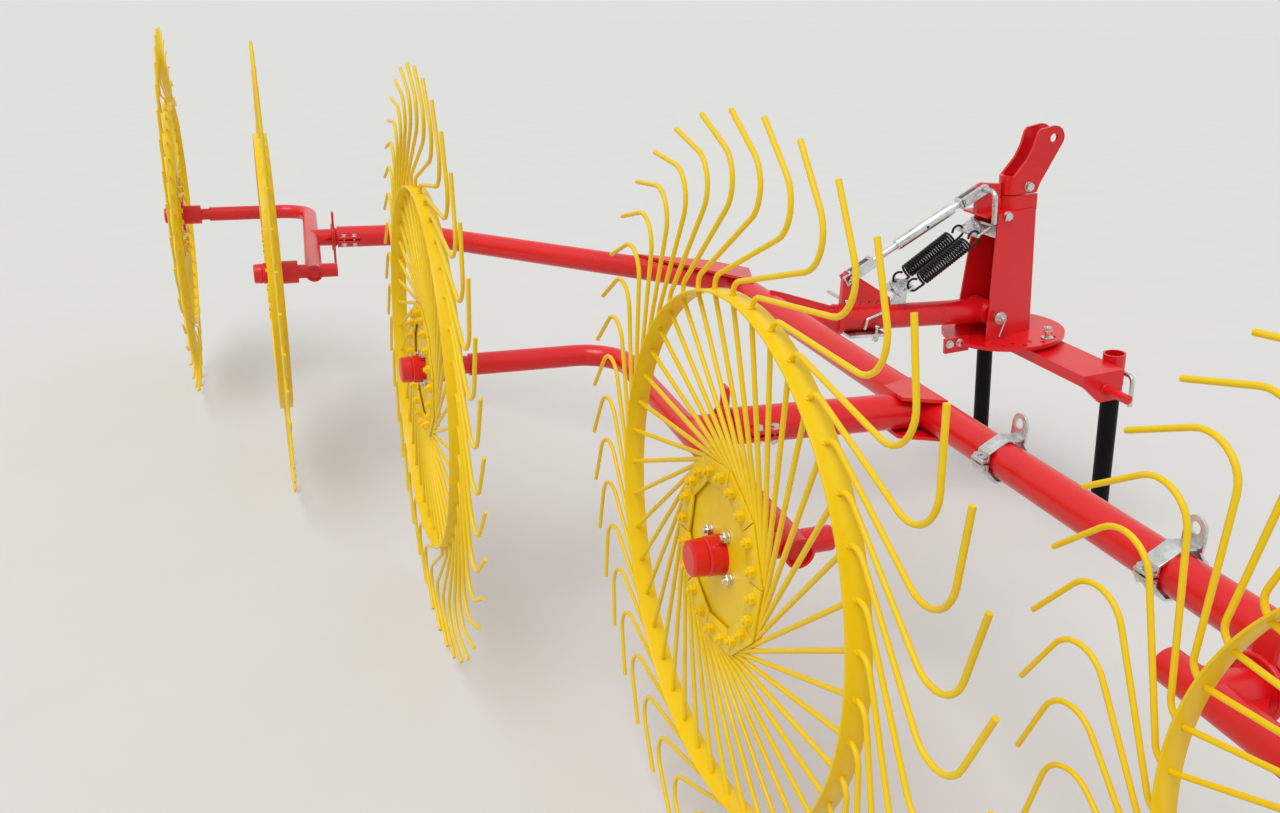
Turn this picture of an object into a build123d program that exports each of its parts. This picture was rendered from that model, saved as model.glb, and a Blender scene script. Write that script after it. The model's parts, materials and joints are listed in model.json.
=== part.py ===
from build123d import *
import os
from math import acos, atan2, cos, degrees, hypot, radians, sin, sqrt, tan

# Five-wheel finger-wheel hay tedder on a three-point headstock, millimetres, +Z up.
# X runs along the beam, Y points to the tractor, Z is up from the ground.
# The origin is on the ground, in the middle of the machine's outline.

# Raking wheels
tip_radius = 700.0            # wheel centre to tine tip
tine_count = 40
wire = 8.5                    # tine wire
tip_round = 3.4               # how far the rounded end of a tine's centre line stops short
hoop_radius = 430.0           # outside of the hoop
hoop_wall = 4.0
hoop_width = 40.0
hole_lead = 15.5              # degrees from a tip forward to its hoop hole
knee_radius = 447.0           # small bend just outside the hoop
knee_lead = 16.4
knee_bend = 16.0
heel_radius = 608.0           # wide bend that turns the tip out again
heel_lag = 13.5
heel_bend = 45.0
spoke_offset = 156.0          # distance of a spoke's line from the wheel centre
ring_inner = 152.0            # ring of coils that holds the spokes together
ring_outer = 168.0
plate_radius = 185.0
plate_thick = 4.0
plate_bolts = 20
plate_bolt_circle = 143.0
plate_bolt_radius = 5.0
bolt_head_flats = 17.0
bolt_head_height = 7.0
toe = 2.7                     # degrees that the wheels are turned from the beam
wheel_step_x = 1047.0
wheel_step_y = 361.0
middle_wheel_y = -669.0

# Hubs and axles
axle_radius = 15.0
running_clearance = 0.05      # radial, for every fit that turns or slides
seat_clearance = 0.3          # radial, for plates that sit on a hub
hub_radius = 36.0
hub_length = 60.0
hub_flange_radius = 70.0
hub_flange_thick = 8.0
barrel_radius = 34.0
cap_radius = 33.0
cap_length = 50.0
cap_groove = 3.0
cap_groove_at = 20.0          # from the plate to the ring groove
cap_wall = 10.0
axle_collar_radius = 22.0
axle_collar_length = 30.0
axle_end_gap = 4.0

# Cranks that carry the wheels
crank_tube_radius = 27.0
crank_bend = 110.0
crank_behind_far = 486.0      # far wheel's plane behind the crank tube
crank_behind_near = 125.0     # near wheel's plane behind the crank tube
crank_overhang = 38.0         # tube past its near axle, and past the pivot of the short crank
crank_recess = 12.0
crank_wall = 5.0
axle_stub = 46.0              # near axle standing out ahead of the tube
stub_radius = 30.0            # pivot stub that turns in the sleeve
stub_seat = 130.0             # length of the stub inside the sleeve
stop_ahead = 75.0             # stop fin ahead of the crank tube
stop_height = 62.0
stop_width = 34.0
fin_thick = 8.0
fin_eye_wall = 14.0           # round eye of the fin about the stub
web_half = 90.0               # web between the crank tube and the fin
web_inset = 4.0

# Beam and its sleeves
tube_radius = 38.0
bend_radius = 114.0
bend_angle = 45.0
beam_y = 381.0
beam_past_pivot = 110.0
stub_end_gap = 6.0            # between a stub's end and the beam
sleeve_radius = 40.0          # sleeves that branch off the straight beam
sleeve_gap = 8.0              # between the stop fin and the sleeve's mouth
long_sleeve = 280.0           # straight length of the far sleeve
gusset_thick = 8.0
gusset_reach = 80.0           # along the beam from the sleeve's middle
gusset_depth = 88.0           # along the sleeve from the beam's middle
bend_gusset = ((-250.0, -250.0), (-120.0, -45.0), (10.0, 48.0), (165.0, 0.0))   # from the bend's corner
clamp_width = 55.0
clamp_wall = 6.0
clamp_lug_height = 48.0       # above the clamp's band
clamp_lug_half = 22.0
clamp_lug_ahead = 44.0        # the lug stands at the clamp's front side
clamp_hole = 11.0
clamp_hole_drop = 22.0        # from the lug's top to its hole
clamp_places = (800.0, 1262.0)

# Arm from the headstock to the beam
arm_z = 642.0
arm_end_y = 605.0
hinge_y = 1122.0
hinge_tube_radius = 36.0      # cross tube in which the hinge pins turn
hinge_tube_half = 54.0
arm_lap = 12.0                # the arm's tube stops this far short of the hinge
hinge_pin_radius = 10.0
hinge_pin_inner = 12.0        # inner ends of the two hinge pins, from the arm's middle
pin_stand_out = 14.0          # hinge pins outside the column
arm_flange_radius = 47.0
arm_flange_thick = 9.0
bracket_gusset = 10.0
bracket_rib_foot = 40.0       # run of the upright rib along the stub tube
bracket_rib_drop = 6.0        # the rib ends this far below the flange's rim
wing_width = 46.0             # level ribs beside the stub tube
wing_lift = 4.0

# Headstock, drawn upright; the parked machine leans it back about the arm's hinge
hitch_x = -360.0
lean = 5.5                    # degrees
mast_y = 1196.0
mast_radius = 30.0
mast_wall = 6.0
mast_shoulder = 1006.0        # the spigot for the top link bracket starts here
spigot_radius = 27.0
spigot_top = 1062.0
bar_half_length = 412.0
bar_top = 544.0
bar_rear = 1190.0
bar_front = 1328.0
bar_wall = 8.0
bar_rear_lip = 34.0
bar_front_lip = 62.0
bar_end_rise = 12.0           # chamfers of the crossbar's end plates
bar_end_nose = 14.0
bar_end_heel = 22.0
bar_end_drop = 10.0
foot_plate_thick = 12.0
foot_half_width = 120.0
foot_margin = 24.0            # base plate behind the mast
disc_radius = 189.0
disc_thick = 12.0
disc_gap = 0.5
disc_rows = (146.0, 168.0)    # radii of the two rows of locking holes
disc_holes = 9
disc_hole_step = 11.0
disc_hole_radius = 7.0
stop_lug_half = 42.0
stop_lug_height = 48.0
stop_lug_thick = 12.0
stop_lug_x = 34.0
column_plate = 6.0
column_top = 955.0
column_front_foot = (45.0, 1265.0)    # half width and y of the front fold
column_rear_foot = (90.0, 1078.0)     # half width and y of the side plate's free edge
column_front_top = (42.0, 1260.0)
column_rear_top = (62.0, 1115.0)
foot_collar = 13.0
head_half = 40.0
head_front = 1263.0
head_gap = 2.0
head_lug_rear = 20.0          # the lug's root behind the upper pin
bracket_clearance = 6.0       # from the swinging lug to the fixed top link bracket
link_pin_radius = 14.0        # lower link pins
link_pin_length = 92.0
link_pin_y = 1273.0
link_pin_z = 490.0
link_lug_drop = 38.0
top_link_hole = 13.0
top_link_y = 1310.0
top_link_z = 1165.0
ear_half_gap = 27.0
ear_thick = 10.0
ear_end_radius = 36.0
ear_front_y = 1262.0
ear_front_flare = (9.0, 25.0)         # forward and up from the ear's lower front corner
ear_front_angle = -30.0               # where the front edge meets the round end, degrees
ear_rear = ((-46.0, 30.0), (-56.0, 20.0), (-68.0, -21.0), (-86.0, -55.0))   # from the top link hole
bracket_bottom = 1008.0
bracket_fold_top = 1064.0
bracket_rear_lap = 14.0               # the ears' shoulder behind the mast's middle
leg_offset = 328.0
leg_radius = 27.0
leg_wall = 4.0
leg_top = 522.0
socket_wall = 5.5
socket_top = 562.0
socket_height = 96.0
pin_wire = 7.0
pin_reach_out = 28.0          # leg pin from its socket to its bend
pin_drop = 62.0
leg_pin_gap = 0.5

# Turnbuckle and springs between the column and the arm
upper_pin_y = 1093.0          # on the upright column
upper_pin_z = 1032.0
lower_pin_y = 634.0
lower_pin_z = 773.0
turn_pin_radius = 8.0
turn_pin_slot = 16.0          # half length of the slot in the lower clevis
lug_thick = 20.0
turn_slot_half_height = 11.0
lug_reach = 148.0             # arm lug ahead of the lower pin
lug_nose = 10.0
lug_step = 46.0
lug_shoulder = 30.0
lug_crown = 18.0              # metal above a pin in a lug
lug_sink = 2.0                # the lug's foot below the tube's surface, cut to the tube
clevis_plate = 6.0
clevis_gap = 1.0
clevis_half_height = 16.0
clevis_block = 12.0
clevis_arm = 76.0
clevis_nose = 20.0            # lower clevis past its pin
clevis_rod_lap = 4.0          # rod's start inside the cross block
pin_overhang = 14.0           # pins past the clevis plates
pin_overhang_upper = 10.0
handle_gap = 3.0              # upper pin's handle outside the column
body_radius = 15.0
body_length = 205.0
rod_radius = 10.0
body_start = 112.0            # along the turnbuckle from the upper pin
rod_overlap = 90.0
rod_travel = 92.0             # free bore ahead of the rod's end
handle_drop = 95.0
spring_wire = 4.0
spring_seat_gap = 0.3
spring_radius = 24.0
spring_half_pitch = 44.0
spring_upper_y = 1053.0       # on the upright column
spring_upper_z = 902.0
spring_lower_y = 824.0
spring_lower_z = 745.0
anchor_thick = 6.0
anchor_rod = 6.0
anchor_rod_overhang = 12.0    # hook rods past the springs
anchor_half_height = 19.0
anchor_set_back = 70.0        # cross plate ahead of the upper hook rod
anchor_foot = 14.0
anchor_crown = 12.0
anchor_tongue = 10.0
spring_eye_gap = 36.0
cut = 200.0                   # reach of a cutting body beyond the middle of what it cuts

# Worked out from the sizes above
tip_step = 360.0 / tine_count
tip_phase = tip_step / 2      # the wheel rests on two tips
wheel_z = tip_radius * cos(radians(tip_step / 2))
plate_outer = wire / 2 + plate_thick
wheel_x = [wheel_step_x * i for i in (-2, -1, 0, 1, 2)]
wheel_y = [middle_wheel_y + wheel_step_y * i for i in (-2, -1, 0, 1, 2)]
wheel_names = ["one", "two", "three", "four", "five"]
crank_y = [wheel_y[1] + crank_behind_near, wheel_y[3] + crank_behind_near,
           wheel_y[4] + crank_behind_near]
pivot_x = [(wheel_x[0] + wheel_x[1]) / 2, (wheel_x[2] + wheel_x[3]) / 2,
           wheel_x[4] - wheel_step_x / 2]
beam_end_x = pivot_x[2] + beam_past_pivot
sleeve_start = stop_ahead + fin_thick + sleeve_gap      # from the crank tube to a sleeve's mouth
mast_foot_top = bar_top + foot_plate_thick
disc_bottom = mast_foot_top + disc_gap
disc_top = disc_bottom + disc_thick
axle_length = plate_outer + cap_length - cap_wall - axle_end_gap
leg_y = bar_front + leg_radius + socket_wall + running_clearance


def leaned_point(y, z):
    """Where a point of the upright headstock goes when it leans back about the hinge."""
    dy = y - hinge_y
    dz = z - arm_z
    c = cos(radians(lean))
    s = sin(radians(lean))
    return (hinge_y + dy * c - dz * s, arm_z + dy * s + dz * c)


pin_y, pin_z = leaned_point(upper_pin_y, upper_pin_z)
turn_angle = degrees(atan2(pin_z - lower_pin_z, pin_y - lower_pin_y))
turn_length = hypot(pin_y - lower_pin_y, pin_z - lower_pin_z)
hook_y, hook_z = leaned_point(spring_upper_y, spring_upper_z)
spring_angle = degrees(atan2(hook_z - spring_lower_z, hook_y - spring_lower_y))
spring_length = hypot(hook_z - spring_lower_z, hook_y - spring_lower_y)
lean_tan = tan(radians(lean))
leg_foot = arm_z - arm_z / cos(radians(lean)) - (leg_y - leg_radius - hinge_y) * lean_tan

os.makedirs("parts", exist_ok=True)
parts = {}


def keep(name, shape):
    parts[name] = shape


def keep_leaned(name, shape):
    """Keep a piece of the headstock, leaned back about the arm's hinge."""
    parts[name] = Pos(0, hinge_y, arm_z) * Rot(lean, 0, 0) * Pos(0, -hinge_y, -arm_z) * shape


def rod_x(radius, x0, x1, y, z):
    """Round bar along X from x0 to x1."""
    return Pos((x0 + x1) / 2, y, z) * Rot(0, 90, 0) * Cylinder(radius, abs(x1 - x0))


def rod_y(radius, y0, y1, x, z):
    """Round bar along Y from y0 to y1."""
    return Pos(x, (y0 + y1) / 2, z) * Rot(90, 0, 0) * Cylinder(radius, abs(y1 - y0))


def rod_z(radius, z0, z1, x, y):
    """Upright round bar from z0 to z1."""
    return Pos(x, y, (z0 + z1) / 2) * Cylinder(radius, abs(z1 - z0))


def block(x0, x1, y0, y1, z0, z1):
    """Box between two corners."""
    return Pos((x0 + x1) / 2, (y0 + y1) / 2, (z0 + z1) / 2) * Box(abs(x1 - x0), abs(y1 - y0), abs(z1 - z0))


def side_plate(points, x_middle, thick):
    """Plate standing in the YZ plane, its outline given as (y, z) points."""
    face = make_face(Polyline(*points, close=True))
    plate = extrude(Plane.YZ * face, amount=thick)
    return Pos(x_middle - thick / 2, 0, 0) * plate


def flat_plate(points, z0, thick):
    """Plate lying level, its outline given as (x, y) points."""
    face = make_face(Polyline(*points, close=True))
    return Pos(0, 0, z0) * extrude(face, amount=thick)


def on_circle(radius, angle):
    """Point of the wheel plane at an angle in degrees."""
    return (radius * cos(radians(angle)), radius * sin(radians(angle)))


def tined_rim():
    """Hoop, spokes, tines and coil ring of one wheel, flat about its own Z axis."""
    hole = on_circle(hoop_radius - hoop_wall / 2, hole_lead)
    start_angle = hole_lead - degrees(acos(spoke_offset / (hoop_radius - hoop_wall / 2)))
    path = FilletPolyline(on_circle(spoke_offset, start_angle), on_circle(knee_radius, knee_lead),
                          on_circle(heel_radius, -heel_lag), on_circle(tip_radius - tip_round, 0),
                          radius=[knee_bend, heel_bend])
    tine = trace(path, wire)
    flat = Circle(ring_outer) - Circle(ring_inner)
    for i in range(tine_count):
        flat += Rot(0, 0, tip_phase + tip_step * i) * tine
    wires = Pos(0, 0, -wire / 2) * extrude(flat, amount=wire)
    hoop = Cylinder(hoop_radius, hoop_width) - Cylinder(hoop_radius - hoop_wall, hoop_width)
    return wires + hoop


def clamp_plates():
    """Two plates that grip the coil ring, joined by their bolts."""
    bore = barrel_radius + seat_clearance
    plate = Cylinder(plate_radius, plate_thick) - Cylinder(bore, plate_thick)
    shift = (wire + plate_thick) / 2
    solid = Pos(0, 0, shift) * plate + Pos(0, 0, -shift) * plate
    for i in range(plate_bolts):
        x, y = on_circle(plate_bolt_circle, 360.0 * i / plate_bolts)
        solid += Pos(x, y, 0) * Cylinder(plate_bolt_radius, wire)
    return solid


def hub():
    """Hub with its flange, barrel and domed cap; the cap points along +Z."""
    front = -plate_outer - hub_flange_thick - hub_length
    flange_front = -plate_outer - hub_flange_thick
    top = plate_outer + cap_length
    groove = plate_outer + cap_groove_at
    outline = [(0, front), (hub_radius, front), (hub_radius, flange_front),
               (hub_flange_radius, flange_front), (hub_flange_radius, -plate_outer),
               (barrel_radius, -plate_outer), (barrel_radius, plate_outer), (cap_radius, plate_outer),
               (cap_radius, groove), (cap_radius - cap_groove, groove + cap_groove),
               (cap_radius - cap_groove / 2, groove + 2 * cap_groove),
               (cap_radius - cap_groove, top - cap_groove), (cap_radius - 3 * cap_groove, top), (0, top)]
    face = make_face(Polyline(*outline, close=True))
    body = revolve(Plane.XZ * face, Axis.Z)
    bore_top = plate_outer + cap_length - cap_wall
    bore_length = bore_top - front
    bore = Pos(0, 0, (bore_top + front) / 2) * Cylinder(axle_radius + running_clearance, bore_length)
    return body - bore


def wheel_place(i):
    """From a wheel's own frame (Z is its axle, pointing rearward) to its place."""
    return Pos(wheel_x[i], wheel_y[i], wheel_z) * Rot(0, 0, toe) * Location(Plane.XZ)


def axle_point(i, ahead):
    """Point on wheel i's axle line, a distance ahead of the wheel plane."""
    return (wheel_x[i] - ahead * sin(radians(toe)), wheel_y[i] + ahead * cos(radians(toe)))


def axle_at_crank(i, y):
    """Where wheel i's axle line crosses the crank tube at y."""
    ahead = (y - wheel_y[i]) / cos(radians(toe))
    return axle_point(i, ahead)


def round_along(radius, i, start, end):
    """Round bar on wheel i's axle line between two distances ahead of the wheel plane."""
    bar = Pos(0, 0, -(start + end) / 2) * Cylinder(radius, abs(end - start))
    return wheel_place(i) * bar


hub_face = plate_outer + hub_flange_thick + hub_length   # front face of the hub


def stub_length(k):
    """Length of a stub inside its sleeve; the beam's own tube may end it sooner."""
    mouth = crank_y[k] + sleeve_start
    if k == 0:
        return stub_seat
    return min(stub_seat, beam_y - tube_radius - stub_end_gap - mouth)


def crank(k, far, near):
    """Crank tube with its axles and pivot stub; far is None on the short crank."""
    y = crank_y[k]
    near_x = axle_at_crank(near, y)[0]
    collar_start = hub_face + seat_clearance
    open_end = near_x + crank_overhang
    if far is None:
        tube = rod_x(crank_tube_radius, pivot_x[k] - 2 * crank_overhang, open_end, y, wheel_z)
    else:
        corner = axle_at_crank(far, y)
        finish = axle_point(far, collar_start + axle_collar_length)
        path = FilletPolyline((open_end, y), corner, finish, radius=crank_bend)
        path = Pos(0, 0, wheel_z) * path
        tube = sweep(Plane(origin=path @ 0, z_dir=path % 0) * Circle(crank_tube_radius), path)
    recess = rod_x(crank_tube_radius - crank_wall, open_end - crank_recess, open_end, y, wheel_z)
    solid = tube - recess
    if far is not None:
        solid += round_along(axle_collar_radius, far, collar_start, collar_start + axle_collar_length)
        solid += round_along(axle_radius, far, -axle_length, collar_start)
    reach = (y - wheel_y[near]) / cos(radians(toe))
    solid += round_along(axle_collar_radius, near, collar_start, reach + crank_tube_radius + axle_stub)
    solid += round_along(axle_radius, near, -axle_length, collar_start)
    solid += rod_y(stub_radius, y, y + sleeve_start + stub_length(k), pivot_x[k], wheel_z)
    web_tip = stub_radius - web_inset
    web = flat_plate([(pivot_x[k] - web_half, y), (pivot_x[k] + web_half, y),
                      (pivot_x[k] + web_tip, y + stop_ahead), (pivot_x[k] - web_tip, y + stop_ahead)],
                     wheel_z - gusset_thick / 2, gusset_thick)
    fin_y = y + stop_ahead
    fin_half = stub_radius + stop_height
    fin = block(pivot_x[k] - stop_width / 2, pivot_x[k] + stop_width / 2, fin_y, fin_y + fin_thick,
                wheel_z - fin_half, wheel_z + fin_half)
    fin += rod_y(stub_radius + fin_eye_wall, fin_y, fin_y + fin_thick, pivot_x[k], wheel_z)
    return solid + web + fin


def sleeve_bore(k):
    """Space for a crank's stub inside its sleeve."""
    end = crank_y[k] + sleeve_start + stub_length(k) + axle_end_gap
    return rod_y(stub_radius + running_clearance, crank_y[k], end, pivot_x[k], wheel_z)


# Wheels
rim = tined_rim()
plates = clamp_plates()
hub_solid = hub()
for i, word in enumerate(wheel_names):
    keep(f"wheel_{word}_tines", wheel_place(i) * rim)
    keep(f"wheel_{word}_plates", wheel_place(i) * plates)
    keep(f"wheel_{word}_hub", wheel_place(i) * hub_solid)

# Cranks: name, far wheel, near wheel
cranks = [("crank_far", 0, 1), ("crank_middle", 2, 3), ("crank_near", None, 4)]
for k, (name, far, near) in enumerate(cranks):
    keep(name, crank(k, far, near))

# Beam: straight run, diagonal with its two bends, and the sleeves
far_mouth = crank_y[0] + sleeve_start
diagonal_y0 = far_mouth + long_sleeve
diagonal_x1 = pivot_x[0] + (beam_y - diagonal_y0)
bend_length = bend_radius * tan(radians(bend_angle / 2))
beam_start_x = diagonal_x1 + bend_length + tube_radius
beam = rod_x(tube_radius, beam_start_x, beam_end_x, beam_y, wheel_z)
keep("beam", beam)

diagonal_path = Pos(0, 0, wheel_z) * FilletPolyline(
    (pivot_x[0], far_mouth), (pivot_x[0], diagonal_y0), (diagonal_x1, beam_y), (beam_start_x, beam_y),
    radius=bend_radius)
diagonal_start = Plane(origin=diagonal_path @ 0, z_dir=diagonal_path % 0)
diagonal = sweep(diagonal_start * Circle(tube_radius), diagonal_path)
keep("beam_diagonal", diagonal - sleeve_bore(0))

for name, k in (("sleeve_middle", 1), ("sleeve_near", 2)):
    mouth = crank_y[k] + sleeve_start
    branch = rod_y(sleeve_radius, mouth, beam_y, pivot_x[k], wheel_z)
    inside_beam = rod_x(tube_radius, pivot_x[k] - cut, pivot_x[k] + cut, beam_y, wheel_z)
    keep(name, branch - inside_beam - sleeve_bore(k))

# Gussets over and under the joints of the beam
bend_outline = [(diagonal_x1 + dx, beam_y + dy) for dx, dy in bend_gusset]
keep("gusset_bend", flat_plate(bend_outline, wheel_z + tube_radius, gusset_thick))
x = pivot_x[1]
corner_outline = [(x - gusset_reach, beam_y), (x - sleeve_radius, beam_y - gusset_depth),
                  (x + sleeve_radius, beam_y - gusset_depth), (x + gusset_reach, beam_y)]
gussets = flat_plate(corner_outline, wheel_z + sleeve_radius, gusset_thick)
gussets += flat_plate(corner_outline, wheel_z - sleeve_radius - gusset_thick, gusset_thick)
keep("gussets_middle", gussets)

# Saddle clamps with their lugs
for name, x in zip(("clamp_inner", "clamp_outer"), clamp_places):
    outer = tube_radius + clamp_wall
    clamp = rod_x(outer, x - clamp_width / 2, x + clamp_width / 2, beam_y, wheel_z)
    lug_top = wheel_z + outer + clamp_lug_height
    lug_round = lug_top - clamp_lug_half
    lug_x0 = x - clamp_wall / 2
    lug_x1 = x + clamp_wall / 2
    lug_y = beam_y + clamp_lug_ahead
    clamp += block(lug_x0, lug_x1, lug_y - clamp_lug_half, lug_y + clamp_lug_half, wheel_z, lug_round)
    clamp += rod_x(clamp_lug_half, lug_x0, lug_x1, lug_y, lug_round)
    clamp -= rod_x(clamp_hole, lug_x0, lug_x1, lug_y, lug_top - clamp_hole_drop)
    keep(name, clamp - rod_x(tube_radius, x - clamp_width, x + clamp_width, beam_y, wheel_z))

# Arm: tube, flange and the cross tube for the hinge pins
hinge_tube = rod_x(hinge_tube_radius, hitch_x - hinge_tube_half, hitch_x + hinge_tube_half, hinge_y, arm_z)
arm = rod_y(tube_radius, arm_end_y, hinge_y - arm_lap, hitch_x, arm_z) - hinge_tube
arm += rod_y(arm_flange_radius, arm_end_y, arm_end_y + arm_flange_thick, hitch_x, arm_z)
keep("arm", arm)
hinge_tube -= rod_x(hinge_pin_radius + running_clearance, hitch_x - cut, hitch_x + cut, hinge_y, arm_z)
keep("arm_hinge_tube", hinge_tube)

# Bracket that carries the beam on the arm's flange: stub tube, flange and gussets
bracket_face = arm_end_y - arm_flange_thick
bracket = rod_y(tube_radius, beam_y, bracket_face, hitch_x, arm_z)
bracket += rod_y(arm_flange_radius, bracket_face, arm_end_y, hitch_x, arm_z)
bracket += side_plate([(beam_y, wheel_z), (beam_y, wheel_z + tube_radius + bracket_gusset),
                       (beam_y + bracket_rib_foot, wheel_z + tube_radius),
                       (bracket_face, arm_z + arm_flange_radius - bracket_rib_drop), (bracket_face, arm_z)],
                      hitch_x, bracket_gusset)
for side in (-1, 1):
    x0 = hitch_x + side * (tube_radius - wing_lift)
    bracket += flat_plate([(x0, beam_y), (x0 + side * wing_width, beam_y), (x0, bracket_face)],
                          arm_z + wing_lift, bracket_gusset)
bracket -= rod_x(tube_radius, hitch_x - cut, hitch_x + cut, beam_y, wheel_z)
keep("beam_bracket", bracket)

# Lug plates on the arm's outer end, for the turnbuckle, and its lower pin
lug_bottom = arm_z + sqrt(tube_radius ** 2 - (lug_thick / 2) ** 2) - lug_sink
lug_rear = arm_end_y + arm_flange_thick
lug_end = lower_pin_y + lug_reach
arm_lug = side_plate([(lug_rear, lug_bottom), (lug_end, lug_bottom),
                      (lug_end - lug_nose, lug_bottom + lug_step), (lower_pin_y + lug_shoulder, lower_pin_z),
                      (lower_pin_y, lower_pin_z + lug_crown), (lug_rear, lower_pin_z)], hitch_x, lug_thick)
arm_lug -= rod_y(tube_radius, lug_rear, lug_end, hitch_x, arm_z)
arm_lug -= rod_x(turn_pin_radius, hitch_x - lug_thick, hitch_x + lug_thick, lower_pin_y, lower_pin_z)
keep("arm_lug", arm_lug)
clevis_half = lug_thick / 2 + clevis_gap + clevis_plate
lower_pin_half = clevis_half + pin_overhang
keep("lower_pin", rod_x(turn_pin_radius, hitch_x - lower_pin_half, hitch_x + lower_pin_half,
                        lower_pin_y, lower_pin_z))

# Spring anchor on the arm
anchor_bottom = arm_z + tube_radius - lug_sink
anchor_top = spring_lower_z + anchor_crown
anchor = side_plate([(lug_end, anchor_bottom), (spring_lower_y + anchor_foot, anchor_bottom),
                     (spring_lower_y + anchor_foot, anchor_top), (spring_lower_y - anchor_foot, anchor_top)],
                    hitch_x, anchor_thick)
anchor -= rod_y(tube_radius, spring_lower_y - cut, spring_lower_y + cut, hitch_x, arm_z)
hook_rod_half = spring_half_pitch + anchor_rod_overhang
anchor += rod_x(anchor_rod, hitch_x - hook_rod_half, hitch_x + hook_rod_half, spring_lower_y, spring_lower_z)
keep("spring_anchor_lower", anchor)

# Crossbar: folded channel open below, closed by end plates that carry the lower link pins
bar_start = hitch_x - bar_half_length
bar_end = hitch_x + bar_half_length
bar = block(bar_start, bar_end, bar_rear, bar_front, bar_top - bar_wall, bar_top)
bar += block(bar_start, bar_end, bar_rear, bar_rear + bar_wall, bar_top - bar_rear_lip, bar_top)
bar += block(bar_start, bar_end, bar_front - bar_wall, bar_front, bar_top - bar_front_lip, bar_top)
end_bottom = link_pin_z - link_lug_drop
end_outline = [(bar_rear, bar_top), (bar_front, bar_top), (bar_front, end_bottom + bar_end_rise),
               (bar_front - bar_end_nose, end_bottom), (link_pin_y - bar_end_heel, end_bottom),
               (bar_rear + bar_end_rise, bar_top - bar_rear_lip - bar_end_drop),
               (bar_rear, bar_top - bar_rear_lip)]
for x in (bar_start + bar_wall / 2, bar_end - bar_wall / 2):
    bar += side_plate(end_outline, x, bar_wall)
keep_leaned("crossbar", bar)

# Lower link pins, and the leg sockets with their legs and pins: suffix, side
for suffix, side in (("left", -1), ("right", 1)):
    outer = hitch_x + side * bar_half_length
    link_pin = rod_x(link_pin_radius, outer, outer + side * link_pin_length, link_pin_y, link_pin_z)
    keep_leaned(f"link_pin_{suffix}", link_pin)
    x = hitch_x + side * leg_offset
    bore = leg_radius + running_clearance
    socket = rod_z(bore + socket_wall, socket_top - socket_height, socket_top, x, leg_y)
    socket -= rod_z(bore, socket_top - socket_height, socket_top, x, leg_y)
    hole_z = socket_top - socket_height / 2
    socket -= rod_x(pin_wire, x, x + side * bore * 2, leg_y, hole_z)
    keep_leaned(f"leg_socket_{suffix}", socket)
    leg = rod_z(leg_radius, leg_foot, leg_top, x, leg_y)
    leg -= rod_z(leg_radius - leg_wall, leg_foot + leg_wall, leg_top, x, leg_y)
    keep_leaned(f"leg_{suffix}", leg)
    start = x + side * (leg_radius + leg_pin_gap)
    turn = start + side * (socket_wall + pin_reach_out)
    pin = rod_x(pin_wire, start, turn, leg_y, hole_z) + Pos(turn, leg_y, hole_z) * Sphere(pin_wire)
    pin += rod_z(pin_wire, hole_z - pin_drop, hole_z, turn, leg_y)
    keep_leaned(f"leg_pin_{suffix}", pin)

# Mast: base plate, pipe and the spigot that carries the top link bracket
foot_rear = mast_y - mast_radius - foot_margin
foot = block(hitch_x - foot_half_width, hitch_x + foot_half_width, foot_rear, bar_front - bar_wall,
             bar_top, mast_foot_top)
foot -= rod_z(mast_radius, bar_top, mast_foot_top, hitch_x, mast_y)
keep_leaned("mast_foot", foot)
mast_bottom = bar_top - bar_rear_lip
mast = rod_z(mast_radius, mast_bottom, mast_shoulder, hitch_x, mast_y)
mast += rod_z(spigot_radius, mast_shoulder, spigot_top, hitch_x, mast_y)
mast -= rod_z(spigot_radius - mast_wall, mast_bottom, spigot_top, hitch_x, mast_y)
mast -= block(bar_start, bar_end, bar_rear, bar_front, mast_bottom, bar_top)
keep_leaned("mast", mast)

# Top link bracket: one plate folded round the spigot, with two ears that rake forward
ear_outer = ear_half_gap + ear_thick
front_dy, front_dz = on_circle(ear_end_radius, ear_front_angle)
ear_outline = [(mast_y, bracket_bottom), (ear_front_y, bracket_bottom),
               (ear_front_y + ear_front_flare[0], bracket_bottom + ear_front_flare[1]),
               (top_link_y + front_dy, top_link_z + front_dz),
               (top_link_y, top_link_z), (top_link_y, top_link_z + ear_end_radius)]
ear_outline += [(top_link_y + dy, top_link_z + dz) for dy, dz in ear_rear]
ear_outline += [(mast_y - bracket_rear_lap, bracket_fold_top), (mast_y, bracket_fold_top)]
ear_face = make_face(Polyline(*ear_outline, close=True))
ear_face += Pos(top_link_y, top_link_z) * Circle(ear_end_radius)
ear_face -= Pos(top_link_y, top_link_z) * Circle(top_link_hole)
ear_plate = extrude(Plane.YZ * ear_face, amount=ear_thick)
ear_back = block(hitch_x - ear_outer, hitch_x + ear_outer, mast_y - cut, mast_y,
                 bracket_bottom, bracket_fold_top)
fold = rod_z(ear_outer, bracket_bottom, bracket_fold_top, hitch_x, mast_y)
fold -= block(hitch_x - ear_outer, hitch_x + ear_outer, mast_y, mast_y + ear_outer,
              bracket_bottom, bracket_fold_top)
ears = Pos(hitch_x + ear_half_gap, 0, 0) * ear_plate + Pos(hitch_x - ear_outer, 0, 0) * ear_plate
top_bracket = (ears - ear_back) + fold
top_bracket -= rod_z(spigot_radius, bracket_bottom, bracket_bottom + cut, hitch_x, mast_y)
keep_leaned("top_link_bracket", top_bracket)


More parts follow.
